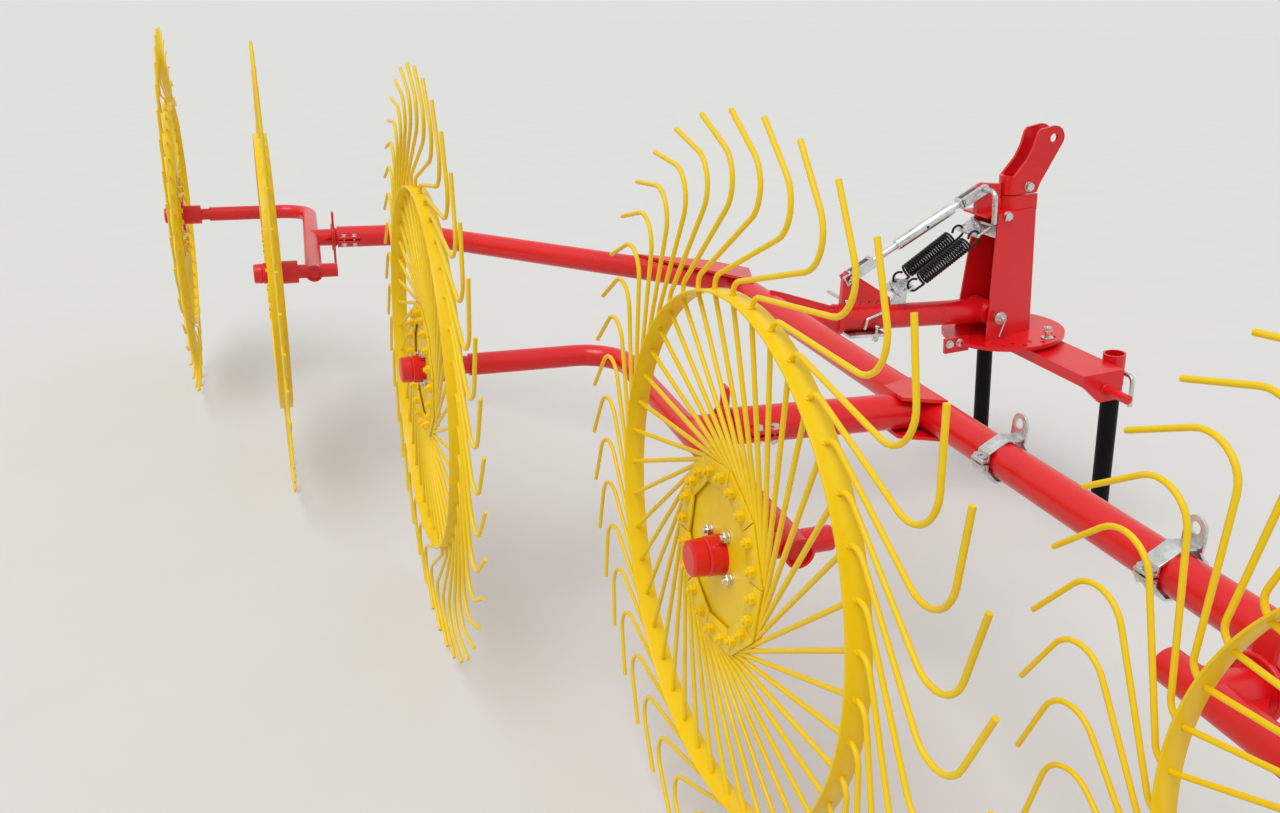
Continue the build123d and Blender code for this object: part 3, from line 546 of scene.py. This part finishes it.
segments = ten_sided(ring_corner, wire_radius, plate_face)
cut_out(segments, ten_sided(opening_corner, wire_radius - past, plate_face + past))
for i in range(segment_count):
    joint = box_piece((opening_corner - past, -joint_width / 2, 0),
                      (ring_corner + past, joint_width / 2, plate_face + past), 0)
    joint.data.transform(Matrix.Rotation(radians(segment_step * i + segment_turn), 4, "Z"))
    cut_out(segments, joint)
bevel(segments, plate_edge)
settle(segments, "segments", 25.0)
centre_plate = ten_sided(centre_corner, -wire_radius, centre_face)
back_plate = ten_sided(ring_corner, -plate_face, -wire_radius)
bevel(back_plate, plate_edge)
settle(back_plate, "back_plate", 25.0)

plate_bolts = []
for i in range(bolt_count):
    place = on_circle(bolt_circle, segment_step / 2 * (i + 0.5) + segment_turn)
    plate_bolts.append(copy_to(nuts[10], Matrix.Translation(place + Vector((0, 0, plate_face)))))
    plate_bolts.append(copy_to(bolts[10], face_along(place - Vector((0, 0, plate_face)), (0, 0, -1))))
deselect_all()
bpy.ops.mesh.primitive_torus_add(major_radius=coil_ring_radius, minor_radius=wire_radius,
                                 major_segments=96, minor_segments=8)
coil_ring = settle(bpy.context.object, "coil_ring", 60.0)
plates = join([segments, centre_plate, back_plate, coil_ring] + plate_bolts, "plates")
print("plates triangles", sum(len(p.vertices) - 2 for p in plates.data.polygons))

# %% [markdown]
# Four bright nuts hold the centre plate to the hub round the red cap. They are left out of the yellow piece
# because they are fitted after painting and keep their zinc.

# %% Hub bolts
hub_bolt_circle = 0.049
hub_bolt_turn = 61
hub_bolt_places = [on_circle(hub_bolt_circle, 90 * i + hub_bolt_turn, centre_face) for i in range(4)]
hub_bolts = join([copy_to(nuts[10], Matrix.Translation(place)) for place in hub_bolt_places], "hub_bolts")

for word in wheel_words:
    body = "raking_wheel_" + word
    for piece, finish, slot, part in ((tined_wheel, yellow_coat, "yellow_paint", "tines"),
                                      (plates, yellow_coat, "yellow_paint", "plates"),
                                      (hub_bolts, bright_zinc, "zinc", None)):
        name = f"wheel_{word}_{part}_round" if part else f"wheel_{word}_hub_bolts"
        replaced = [f"wheel_{word}_{part}"] if part else []
        dress(copy_to(piece, wheel_place[word], name), body, finish, replaced)
for pattern in (tined_wheel, plates, hub_bolts):
    discard(pattern)
print("five wheels dressed")

# %% [markdown]
# The headstock leans back by 5.5 degrees about the arm's hinge, as the parked machine stands. Its details are
# placed in the upright drawing and then leaned by one matrix, just as the solids were.

# %% Headstock frame
hitch_x = -0.36
hinge_y, hinge_z = 1.122, 0.642
hinge = Vector((hitch_x, hinge_y, hinge_z))
lean_angle = radians(5.5)
lean = Matrix.Translation(hinge) @ Matrix.Rotation(lean_angle, 4, "X") @ Matrix.Translation(-hinge)


def upright(dx, y, z):
    """Point of the upright headstock, dx from its middle, after it has leaned."""
    return lean @ Vector((hitch_x + dx, y, z))


def leaned_along(direction):
    """Direction of the upright headstock after it has leaned."""
    return lean.to_3x3() @ Vector(direction)


print("lean", round(degrees(lean.to_euler().x), 2))

# %% [markdown]
# Two black extension springs help to lift the beam. A coil spring is a screw: the wire's ring is turned round
# an axis while it climbs, which is what the Screw modifier does, and each end is bent out into a closed hook.
# The pair stretches as the arm moves; each spring is made once, from the column to the arm as they stand.

# %% Springs
spring_wire = 0.0038
spring_turn_radius = 0.0204
spring_half_pitch = 0.044
spring_turns = 20
spring_eye_gap = 0.036
hook_radius = 0.0185
hook_lead = 0.004
hook_sag = 0.009
spring_top = upright(0, 1.053, 0.902)
spring_foot = Vector((hitch_x, 0.824, 0.745))
spring_length = (spring_top - spring_foot).length
coil_length = spring_length - 2 * spring_eye_gap

deselect_all()
bpy.ops.mesh.primitive_circle_add(vertices=8, radius=spring_wire, location=(spring_turn_radius, 0, 0),
                                  rotation=(radians(90), 0, 0))
coil = bpy.context.object
bpy.ops.object.transform_apply(location=True, rotation=True, scale=True)
screw = coil.modifiers.new("winding", "SCREW")
screw.axis = "Z"
screw.angle = 2 * pi
screw.screw_offset = (coil_length - 2 * spring_wire) / spring_turns
screw.iterations = spring_turns
screw.steps = screw.render_steps = 20
screw.use_merge_vertices = False
bpy.ops.object.modifier_apply(modifier=screw.name)
edit(coil, "VERT", lambda vertex: True)
bpy.ops.mesh.fill_holes(sides=0)
bpy.ops.mesh.normals_make_consistent(inside=False)
bpy.ops.object.mode_set(mode="OBJECT")
coil.data.transform(Matrix.Translation((0, 0, spring_eye_gap + spring_wire)))
settle(coil, "coil", 60.0)


def hook(outward):
    """Hook at one end of a spring that lies along Z; outward is 1 at the far end and -1 at the near end."""
    body_end = spring_eye_gap if outward < 0 else spring_length - spring_eye_gap
    middle = body_end + outward * (spring_eye_gap - hook_sag)
    points = [Vector((spring_turn_radius, 0, body_end - outward * spring_wire)),
              Vector((spring_turn_radius, 0, body_end + outward * hook_lead))]
    for i in range(6):
        x, rise, _ = on_circle(hook_radius / cos(radians(22.5)), 22.5 + 45 * i)
        points.append(Vector((x, 0, middle + outward * rise)))
    return bent_wire(points, spring_wire, [hook_lead] + [hook_radius * 0.9] * 5, 8, 15.0)


spring = join([coil, hook(-1), hook(1)], "spring")
down = (spring_foot - spring_top).normalized()
across = Vector((1, 0, 0))
lift = down.cross(across)
spring_frame = Matrix((across, lift, down)).transposed().to_4x4()
quarter = Matrix.Rotation(radians(-90), 4, "Z")
for side, word in ((-1, "left"), (1, "right")):
    place = Matrix.Translation(spring_top + across * side * spring_half_pitch) @ spring_frame @ quarter
    twin = copy_to(spring, place, f"coil_spring_{word}")
    twin.data.materials.clear()
    twin.data.materials.append(spring_black)
    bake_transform(twin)
    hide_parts(f"spring_{word}")
discard(spring)
print("spring length", round(spring_length, 4), "turns", spring_turns)

# %% [markdown]
# The springs hook into two flat galvanised plates with punched holes, one bolted to the column and one to the
# arm. A plate is a box whose holes are cut by two round bars.

# %% Spring plates
plate_half = 0.057
plate_strip = 0.006
plate_depth = 0.046
plate_gauge = 0.006
hook_hole_radius = 0.0095
stud_offset = 0.034
stud_length = 0.034


def hook_plate(name, body, outward):
    """Plate in the springs' own frame; outward is -1 at the upper end and 1 at the lower end."""
    anchor = 0.0 if outward < 0 else spring_length
    near = anchor - outward * plate_strip
    far = anchor + outward * plate_depth
    plate = box_piece((-plate_half, -plate_gauge / 2, near), (plate_half, plate_gauge / 2, far))
    hook_hole_at = anchor + outward * (plate_strip + hook_hole_radius)
    for x in (-spring_half_pitch, spring_half_pitch):
        cut_out(plate, rod_piece(hook_hole_radius, (x, -2 * past, hook_hole_at),
                                 (x, 2 * past, hook_hole_at), 24, 0))
    stud_at = anchor + outward * stud_offset
    stud_nut = copy_to(nuts[12], face_along((0, plate_gauge / 2, stud_at), (0, 1, 0)))
    stud = rod_piece(0.006, (0, 0, stud_at), (0, stud_length, stud_at), 16, 0.0008)
    whole = join([settle(plate, "plate", 30.0), stud_nut, stud], name)
    whole.data.transform(Matrix.Translation(spring_top) @ spring_frame)
    dress(whole, body, galvanised)


hook_plate("spring_plate_upper", "swivel_column", -1)
hook_plate("spring_plate_lower", "boom", 1)
print("spring plates", plate_half * 2, "m wide")

# %% [markdown]
# Bolts of the headstock: a bolt clamps the ears round the mast, one goes through each side plate of the
# column, two hold the stop lug, and a standing bolt with a washer locks the swivel disc. A place is given as
# its distance from the middle, its y and its z in the upright drawing, with the way its fastener faces.

# %% Headstock fasteners
def fasten(name, body, places, pattern):
    """Copies of a fastener at (point, direction) places as one piece."""
    copies = [copy_to(pattern, face_along(point, direction)) for point, direction in places]
    dress(join(copies, name), body, bright_zinc)


ear_face, ear_y, ear_z = 0.037, 1.232, 1.028
side_face, side_y, side_z = 0.0565, 1.150, 0.951
lug_face, lug_z = 0.040, 0.563
fasten("ear_bolt", "headstock", [(upright(ear_face, ear_y, ear_z), (1, 0, 0))], bolts[16])
fasten("ear_nut", "headstock", [(upright(-ear_face, ear_y, ear_z), (-1, 0, 0))], nuts[16])
fasten("column_bolts", "swivel_column",
       [(upright(side * side_face, side_y, side_z), (side, 0, 0)) for side in (1, -1)], bolts[16])

lock_x, lock_y = 0.140, 1.262
lock_foot, lock_top = 0.5565, 0.606
lock_head = 0.592
washer_foot, washer_top = 0.5685, 0.572
lock_bolt = [rod_piece(0.008, upright(lock_x, lock_y, lock_foot), upright(lock_x, lock_y, lock_top), 20),
             copy_to(bolts[16], face_along(upright(lock_x, lock_y, lock_head), leaned_along((0, 0, 1)))),
             rod_piece(0.019, upright(lock_x, lock_y, washer_foot), upright(lock_x, lock_y, washer_top), 24,
                       0.0006)]
dress(join(lock_bolt, "lock_bolt"), "swivel_column", bright_zinc)
fasten("stop_lug_bolts", "swivel_column", [(upright(lug_face, y, lug_z), (1, 0, 0)) for y in (0.980, 1.016)],
       bolts[12])
print("headstock bolts made")

# %% [markdown]
# Each hinge pin ends in a nut over a wide washer. The split pin that locks it is one piece of wire, which
# goes through the nut and hangs down behind it.

# %% Hinge nuts and split pins
hinge_face = 0.0925
split_pin_face = hinge_face + 0.019
split_pin_wire = 0.0021
for side, word in ((-1, "left"), (1, "right")):
    face = upright(side * hinge_face, hinge_y, hinge_z)
    pin_x = side * split_pin_face
    pin_points = [upright(pin_x, hinge_y - 0.014, hinge_z + 0.008),
                  upright(pin_x, hinge_y + 0.006, hinge_z - 0.002),
                  upright(pin_x + side * 0.006, hinge_y - 0.018, hinge_z - 0.050)]
    pieces = [rod_piece(0.020, face, face + Vector((side * 0.003, 0, 0)), 28, 0.0006),
              copy_to(nuts[16], face_along(face, (side, 0, 0))),
              bent_wire(pin_points, split_pin_wire, [0.004], 8, 20.0)]
    dress(join(pieces, f"hinge_nut_{word}"), "swivel_column", bright_zinc)
print("hinge nuts made")

# %% [markdown]
# The beam's two saddle clamps are folded from galvanised strip. The upper strip lies on the tube in a few
# flat facets, the lower one goes round below it, and two bolts on each side pull them together. A folded
# strip is drawn as it is folded: one flat face is laid down, its end edge is extruded from fold to fold, and
# a Solidify modifier gives the gauge. The lug is half a disc whose cut face is extruded down to the strip.

# %% Folded strips and the lug
beam_y = 0.381           # the beam lies at the height of the wheels' axles
tube_radius = 0.038
clamp_half_width = 0.0185
strip_gauge = 0.005


def folded_strip(profile, half_width, gauge):
    """Strip across X that follows (y, z) points, folded at each inner one."""
    (y0, z0), (y1, z1) = profile[:2]
    deselect_all()
    bpy.ops.mesh.primitive_plane_add(size=1.0, location=(0, (y0 + y1) / 2, (z0 + z1) / 2),
                                     rotation=(atan2(z1 - z0, y1 - y0), 0, 0))
    strip = bpy.context.object
    strip.scale = (2 * half_width, hypot(y1 - y0, z1 - z0), 1)
    bpy.ops.object.transform_apply(location=True, rotation=True, scale=True)
    end = Vector((0, y1, z1))
    edit(strip, "VERT", lambda vertex: (vertex.co * Vector((0, 1, 1)) - end).length < 1e-5)
    for (ya, za), (yb, zb) in zip(profile[1:], profile[2:]):
        bpy.ops.mesh.extrude_region_move(TRANSFORM_OT_translate={"value": (0, yb - ya, zb - za)})
    bpy.ops.object.mode_set(mode="OBJECT")
    wall = strip.modifiers.new("gauge", "SOLIDIFY")
    wall.thickness = gauge
    wall.offset = 0.0
    wall.use_even_offset = True
    bpy.ops.object.modifier_apply(modifier=wall.name)
    bevel(strip, 0.0011, 2, 25.0)
    return settle(strip, "strip", 20.0)


def round_headed_plate(half_width, thick, height, hole, hole_drop):
    """Upright plate facing along Y, its foot at the origin, its hole a drop below the round head's top."""
    deselect_all()
    bpy.ops.mesh.primitive_cylinder_add(vertices=48, radius=half_width, depth=thick,
                                        rotation=(radians(90), 0, 0))
    plate = settle(bpy.context.object, "plate", 30.0)
    edit(plate, "VERT", lambda vertex: True)
    bpy.ops.mesh.bisect(plane_co=(0, 0, 0), plane_no=(0, 0, 1), use_fill=True, clear_inner=True)
    bpy.ops.mesh.extrude_region_move(TRANSFORM_OT_translate={"value": (0, 0, half_width - height)})
    bpy.ops.mesh.select_all(action="SELECT")
    bpy.ops.mesh.normals_make_consistent(inside=False)
    bpy.ops.object.mode_set(mode="OBJECT")
    hole_at = half_width - hole_drop
    cut_out(plate, rod_piece(hole, (0, -thick, hole_at), (0, thick, hole_at), 32, 0))
    bevel(plate, 0.0008, 2, 50.0)
    plate.data.transform(Matrix.Translation((0, 0, height - half_width)))
    return settle(plate, "plate", 30.0)


print("strip folder ready")

# %% [markdown]
# Both clamps are alike. The lug stands on the upper strip's front part and faces along the machine's travel.

# %% Saddle clamps
flap_end, strip_side = 0.0605, 0.0435
flap_level = 0.0042      # middle of a flap's gauge, from the middle of the beam
upper_profile = [(-flap_end, flap_level), (-strip_side, flap_level), (-strip_side, 0.0195), (-0.004, 0.0445),
                 (0.0285, 0.0425), (strip_side, 0.0195), (strip_side, flap_level), (flap_end, flap_level)]
lower_profile = [(-flap_end, -flap_level), (-strip_side, -flap_level), (-strip_side, -0.018),
                 (-0.018, -strip_side), (0.018, -strip_side), (strip_side, -0.018),
                 (strip_side, -flap_level), (flap_end, -flap_level)]
bolt_row = 0.0522
bolt_pair = 0.0105
flap_face = flap_level + strip_gauge / 2


def saddle_clamp(x, name):
    """Both strips of a clamp, its lug and its four bolts, x along the beam."""
    pieces = [folded_strip(upper_profile, clamp_half_width, strip_gauge),
              folded_strip(lower_profile, clamp_half_width, strip_gauge)]
    lug = round_headed_plate(0.023, 0.0055, 0.056, 0.0105, 0.021)
    lug.data.transform(Matrix.Translation((0.002, 0.0295, 0.0385)))
    pieces.append(lug)
    for y in (-bolt_row, bolt_row):
        for dx in (-bolt_pair, bolt_pair):
            pieces.append(copy_to(bolts[8], Matrix.Translation((dx, y, flap_face))))
            pieces.append(copy_to(nuts[8], face_along((dx, y, -flap_face), (0, 0, -1))))
            pieces.append(rod_piece(0.0038, (dx, y, -flap_face - 0.0005), (dx, y, flap_face + 0.0005), 12, 0))
    whole = join(pieces, name)
    whole.data.transform(Matrix.Translation((x, beam_y, wheel_height)))
    return whole


dress(saddle_clamp(0.812, "saddle_clamp_inner"), "boom", galvanised, ["clamp_inner"])
dress(saddle_clamp(1.276, "saddle_clamp_outer"), "boom", galvanised, ["clamp_outer"])
print("saddle clamps made")

# %% [markdown]
# Beside each sleeve's mouth two red strips are bolted together; they pinch the split sleeve on the crank's
# stub. The stub's fin limits how far the crank rocks. Weld beads show as soft ripples where tubes and plates
# meet, so a ring with a slight swell is laid at each round joint.

# %% Sleeve strips and weld beads
sleeve_radius = 0.040
# Crank, x of its pivot, y where the pivot leaves the crank, start of the strips from there, radius under them
crank_rows = [("far", -1.5705, -0.905, 0.093, tube_radius), ("middle", 0.5235, -0.183, 0.116, sleeve_radius),
              ("near", 1.5705, 0.178, 0.116, sleeve_radius)]
strip_length, strip_width = 0.078, 0.032
strip_sink = 0.003       # how deep the strips' edges lie in the tube
strip_near, strip_far = 0.003, 0.011


def weld_bead(centre, normal, radius, thick=0.0042):
    """Rippled ring of weld round a joint."""
    deselect_all()
    bpy.ops.mesh.primitive_torus_add(major_radius=radius, minor_radius=thick, major_segments=96,
                                     minor_segments=8)
    bead = settle(bpy.context.object, "bead", 60.0)
    for vertex in bead.data.vertices:
        angle = atan2(vertex.co.y, vertex.co.x)
        swell = 1 + 0.12 * sin(34 * angle) + 0.06 * sin(13 * angle + 1)
        ring = Vector((cos(angle), sin(angle), 0)) * radius
        vertex.co = ring + (vertex.co - ring) * swell
    bead.data.transform(face_along(centre, normal))
    return bead


for word, x, crank_y, strip_start, under in crank_rows:
    corner = Vector((x + under - strip_sink, crank_y + strip_start, wheel_height))
    strips = [box_piece(corner + Vector((0, 0, z0)), corner + Vector((strip_width, strip_length, z1)))
              for z0, z1 in ((strip_near, strip_far), (-strip_far, -strip_near))]
    face = Vector((0, 0, strip_far))
    shank = Vector((0, 0, strip_far + 0.001))
    pinch_bolts = []
    for dy in (0.020, 0.056):
        at = corner + Vector((0.019, dy, 0))
        pinch_bolts.append(copy_to(bolts[10], Matrix.Translation(at + face)))
        pinch_bolts.append(copy_to(nuts[10], face_along(at - face, (0, 0, -1))))
        pinch_bolts.append(rod_piece(0.005, at - shank, at + shank, 12, 0))
    dress(join(strips, f"pinch_strips_{word}"), "boom", red_coat)
    dress(join(pinch_bolts, f"pinch_bolts_{word}"), "boom", bright_zinc)
    crank_body = "boom" if word == "near" else f"{word}_crank"
    beads = [weld_bead((x, crank_y + 0.075, wheel_height), (0, 1, 0), 0.0445),
             weld_bead((x, crank_y + 0.083, wheel_height), (0, 1, 0), 0.0305)]
    dress(join(beads, f"fin_beads_{word}"), crank_body, red_coat)

flange_faces = (0.5955, 0.6145)
link_pin_root, link_pin_y, link_pin_z = 0.4125, 1.273, 0.490
joint_beads = {"boom": [((hitch_x, y, hinge_z), (0, 1, 0), 0.0385) for y in flange_faces],
               "headstock": [(upright(side * link_pin_root, link_pin_y, link_pin_z), (1, 0, 0), 0.0145)
                             for side in (1, -1)]}
for body, places in joint_beads.items():
    beads = [weld_bead(centre, normal, radius, 0.0032) for centre, normal, radius in places]
    dress(join(beads, f"joint_beads_{body}"), body, red_coat)
print("strips and beads made")

# %% [markdown]
# The turnbuckle is a galvanised tube that turns on a threaded rod and so lifts or lowers the beam. Its solid
# has the main shape, but the real one has a cross hole for a turning bar and soft edges, so it is built again
# here from its plates, block and tube. It is drawn along Z from its upper pin and then laid along the line
# between its pins.

# %% Turnbuckle tube and clevis
upper_pin_y, upper_pin_z = 1.093, 1.032
turn_top = upright(0, upper_pin_y, upper_pin_z)
turn_foot = Vector((hitch_x, 0.634, 0.773))
turn_down = (turn_foot - turn_top).normalized()
turn_side = Vector((1, 0, 0))
turn_up = turn_down.cross(turn_side)
turn_frame = Matrix((turn_side, turn_up, turn_down)).transposed().to_4x4()
turn_place = Matrix.Translation(turn_top) @ turn_frame
clevis_inner = 0.011
clevis_outer = 0.017
clevis_half = 0.016
clevis_length = 0.076
clevis_block = 0.012     # thickness of the block that joins the clevis's plates
clevis_sink = 0.006      # how far the plates lie in the block
clevis_bolt_at = 0.066
tube_start, tube_end = 0.112, 0.317
tube_outer = 0.0172
bore_radius, bore_depth = 0.01005, 0.182
cross_hole, cross_hole_radius = 0.210, 0.0048


def turn_point(x, y, z):
    """Point in the turnbuckle's frame: z runs down from the upper pin."""
    return turn_place @ Vector((x, y, z))


clevis = [box_piece((-clevis_outer, -clevis_half, clevis_length),
                    (clevis_outer, clevis_half, clevis_length + clevis_block), 0.002)]
cheek_foot = clevis_length + clevis_sink
cheek_hole_radius = 0.0081
for side in (-1, 1):
    cheek = round_headed_plate(clevis_half, clevis_outer - clevis_inner, cheek_foot + clevis_half,
                               cheek_hole_radius, clevis_half)
    cheek.data.transform(Matrix.Translation((side * (clevis_inner + clevis_outer) / 2, 0, cheek_foot))
                         @ Matrix.Rotation(radians(180), 4, "X") @ Matrix.Rotation(radians(90), 4, "Z"))
    clevis.append(cheek)
neck = rod_piece(0.010, (0, 0, clevis_length), (0, 0, tube_start + 0.004), 32, 0)
tube = rod_piece(tube_outer, (0, 0, tube_start), (0, 0, tube_end), 48, 0.0016)
cut_out(tube, rod_piece(bore_radius, (0, 0, tube_end - bore_depth), (0, 0, tube_end + past), 48, 0))
cut_out(tube, rod_piece(cross_hole_radius, (-tube_outer - past, 0, cross_hole),
                        (tube_outer + past, 0, cross_hole), 24, 0))
settle(tube, "tube", 30.0)
deselect_all()
bpy.ops.mesh.primitive_torus_add(location=(0, 0, tube_end - 0.011), major_radius=0.0168, minor_radius=0.0011,
                                 major_segments=48, minor_segments=8)
collar = settle(bpy.context.object, "collar", 60.0)
whole_tube = join(clevis + [neck, tube, collar], "turnbuckle_tube")
whole_tube.data.transform(turn_place)
dress(whole_tube, "turnbuckle_sleeve", galvanised, ["turnbuckle_body"])
fasten("clevis_bolt", "turnbuckle_sleeve",
       [(turn_point(clevis_outer, 0, clevis_bolt_at), (1, 0, 0))], bolts[12])
fasten("clevis_nut", "turnbuckle_sleeve",
       [(turn_point(-clevis_outer, 0, clevis_bolt_at), (-1, 0, 0))], nuts[12])
print("turnbuckle tube", round(tube_end - tube_start, 3), "m long")

# %% [markdown]
# The pins that a driver pulls by hand are bars bent to an L, so that they can't slide through. The inside of
# the bend is rounded by a little less than the bar's thickness, so the bars are made by the wire bender.
# Clips through their ends hold them.

# %% Bent pins and clips
pin_end, pin_bend_x, pin_drop = -0.027, 0.073, 0.095
handle = bent_wire([upright(pin_end, upper_pin_y, upper_pin_z), upright(pin_bend_x, upper_pin_y, upper_pin_z),
                    upright(pin_bend_x, upper_pin_y, upper_pin_z - pin_drop)], 0.008, [0.020], 24, 9.0)
bevel(handle, 0.001, 2, 50.0)
dress(settle(handle, "upper_pin_handle", 35.0), "swivel_column", bright_zinc, ["upper_pin"])

leg_offset, leg_y = 0.328, 1.36055
leg_pin_z, leg_pin_drop = 0.514, 0.094
leg_pin_start, leg_pin_reach = 0.0275, 0.086
for side, word in ((-1, "left"), (1, "right")):
    near = side * (leg_offset + leg_pin_start)
    far = side * (leg_offset + leg_pin_reach)
    bar = bent_wire([upright(near, leg_y, leg_pin_z), upright(far, leg_y, leg_pin_z),
                     upright(far, leg_y, leg_pin_z - leg_pin_drop)], 0.0068, [0.018], 20, 9.0)
    bevel(bar, 0.001, 2, 50.0)
    dress(settle(bar, f"leg_lock_pin_{word}", 35.0), "headstock", bright_zinc, [f"leg_pin_{word}"])


clip_radius, clip_wire = 0.012, 0.0017


def ring_clip(name, body, eye):
    """Sprung ring in the YZ plane that hangs through a pin's eye."""
    ring = []
    for i in range(8):
        y, z, _ = on_circle(clip_radius * 1.08, 45 * i - 90)
        ring.append(eye + Vector((0, y, z - clip_radius)))
    clip = bent_wire(ring, clip_wire, [clip_radius] * 6, 8, 15.0)
    dress(settle(clip, name, 60.0), body, bright_zinc)


ring_clip("ring_clip_upper", "swivel_column", upright(-0.0235, upper_pin_y, upper_pin_z))
ring_clip("ring_clip_lower", "boom", turn_foot + Vector((0.0275, 0, 0)))
print("bent pins and clips made")

# %% [markdown]
# The lug on the arm's end carries the lower pin and has a row of three more holes. Its plate is a box whose
# corners are cut away by planes, bisected as a smith would shear it.

# %% Arm lug
lug_box = box_piece((-0.010, 0.614, 0.6787), (0.010, 0.782, 0.791), 0)
# A point of each cut and its outward normal
lug_cuts = [((0, 0.772, 0.7247), (0, 0.0457, 0.010)), ((0, 0.772, 0.7247), (0, 0.0483, 0.108)),
            ((0, 0.664, 0.773), (0, 0.018, 0.030)), ((0, 0.625, 0.7865), (0, -0.0045, 0.0095)),
            ((0, 0.6165, 0.778), (0, -0.0095, 0.006))]
hole_radius, hole_z = 0.0058, 0.6935
for at, normal in lug_cuts:
    edit(lug_box, "VERT", lambda vertex: True)
    bpy.ops.mesh.bisect(plane_co=at, plane_no=normal, use_fill=True, clear_outer=True)
    bpy.ops.object.mode_set(mode="OBJECT")
for y in (0.675, 0.703, 0.732):
    cut_out(lug_box, rod_piece(hole_radius, (-0.03, y, hole_z), (0.03, y, hole_z), 24, 0))
bevel(lug_box, 0.0012)
lug_box.data.transform(Matrix.Translation((hitch_x, 0, 0)))
dress(settle(lug_box, "arm_lug_plate", 30.0), "boom", red_coat, ["arm_lug"])
print("arm lug made")

# %% [markdown]
# Beside the arm's flange the loose parts are kept: an L-shaped lock pin lies on the tube, a headed pin with
# its clip stands through a flat bar below it, and a spare pin is pushed through the lug.

# %% Lock pins on the arm
lock_pin = bent_wire([(-0.3165, 0.682, 0.618), (-0.3165, 0.687, 0.650), (-0.318, 0.738, 0.668),
                      (-0.333, 0.762, 0.6645)], 0.0048, [0.010, 0.012], 16, 12.0)
bevel(lock_pin, 0.0012, 2, 50.0)
spare_pin = rod_piece(0.006, (-0.345, 0.628, 0.7), (-0.472, 0.628, 0.7), 20, 0.0012)
stem_x, stem_y = -0.3115, 0.720
stem = rod_piece(0.005, (stem_x, stem_y, 0.578), (stem_x, stem_y, 0.628), 16, 0.0008)
deselect_all()
bpy.ops.mesh.primitive_uv_sphere_add(segments=24, ring_count=12, radius=0.0095,
                                     location=(stem_x, stem_y, 0.627))
dome = bpy.context.object
dome.scale = (1, 1, 0.55)
settle(dome, "dome", 60.0)
edit(dome, "VERT", lambda vertex: True)
bpy.ops.mesh.bisect(plane_co=(0, 0, 0.6262), plane_no=(0, 0, 1), use_fill=True, clear_inner=True)
bpy.ops.object.mode_set(mode="OBJECT")
settle(dome, "dome", 40.0)
bar_end = -0.3045        # the clip hangs beside the bar's end
spring_clip = bent_wire([(bar_end, 0.704, 0.584), (bar_end, 0.716, 0.609), (bar_end, 0.727, 0.604),
                         (bar_end, 0.722, 0.582)], 0.0014, [0.004, 0.004], 8, 20.0)
dress(join([settle(lock_pin, "lock_pin", 40.0), spare_pin, stem, dome, spring_clip], "arm_lock_pins"), "boom",
      bright_zinc)
pin_bar = box_piece((-0.402, 0.630, 0.5945), (bar_end, 0.752, 0.6045), 0.002)
dress(settle(pin_bar, "lock_pin_bar", 30.0), "boom", galvanised)
print("lock pins made")

# %% [markdown]
# The machine stands on a plain pale floor, as in a studio. The lamps are one very wide sun for soft shadows
# and a pale sky that is brighter overhead than at the horizon, which gives the round tubes their broad
# highlight. Together they light a white card to about its own value. The camera and the reflections in paint
# and zinc see a plain backdrop in the floor's own tone instead of that sky, so that no horizon line shows.

# %% Floor, light and sky
deselect_all()
bpy.ops.mesh.primitive_plane_add(size=240.0, location=(0, 0, -0.0006))
floor = bpy.context.object
floor.name = "studio_floor"
floor_finish, floor_tree, floor_shader, floor_where = start_material("matt_studio_floor")
grain = add_node(floor_tree, "ShaderNodeTexNoise", {}, {"Vector": floor_where, "Scale": 3.0, "Detail": 2.0})
floor_colour = ramp(floor_tree, grain.outputs["Fac"], [(0.3, "#D4D3CF"), (0.7, "#D6D5D1")])
floor_tree.links.new(floor_colour, floor_shader.inputs["Base Color"])
floor_shader.inputs["Roughness"].default_value = 0.9
floor.data.materials.append(floor_finish)

sun_data = bpy.data.lights.new("soft_sun", "SUN")
sun_data.energy = 1.35
sun_data.angle = radians(35)
sun = bpy.data.objects.new("soft_sun", sun_data)
sun.matrix_world = face_along((0, 0, 5), (0.35, -0.45, 1.0))
bpy.context.scene.collection.objects.link(sun)

world = bpy.data.worlds.new("studio_sky")
world.use_nodes = True
bpy.context.scene.world = world
sky = world.node_tree
background = sky.nodes["Background"]
sky_where = add_node(sky, "ShaderNodeTexCoord", {}, {}).outputs["Generated"]
height = add_node(sky, "ShaderNodeSeparateXYZ", {}, {"Vector": sky_where}).outputs["Z"]
sky_colour = ramp(sky, height, [(0.0, "#85888B"), (0.12, "#B9BCBF"), (0.35, "#FAFBFC")])
sky.links.new(sky_colour, background.inputs["Color"])
background.inputs["Strength"].default_value = 0.8
backdrop = add_node(sky, "ShaderNodeBackground", {}, {"Color": linear("#E1E1DD"), "Strength": 1.0})
path = add_node(sky, "ShaderNodeLightPath", {}, {}).outputs
seen = path["Is Camera Ray"]
for kind in ("Is Glossy Ray", "Is Transmission Ray"):
    seen = add_node(sky, "ShaderNodeMath", {"operation": "MAXIMUM"}, {0: seen, 1: path[kind]}).outputs[0]
shown = add_node(sky, "ShaderNodeMixShader", {}, {0: seen, 1: background.outputs[0], 2: backdrop.outputs[0]})
sky.links.new(shown.outputs[0], sky.nodes["World Output"].inputs["Surface"])
print("studio ready")

# %% [markdown]
# Patterns that were only copied are removed.

# %% Clear up and finish
for pattern in [*bolts.values(), *nuts.values()]:
    discard(pattern)
deselect_all()
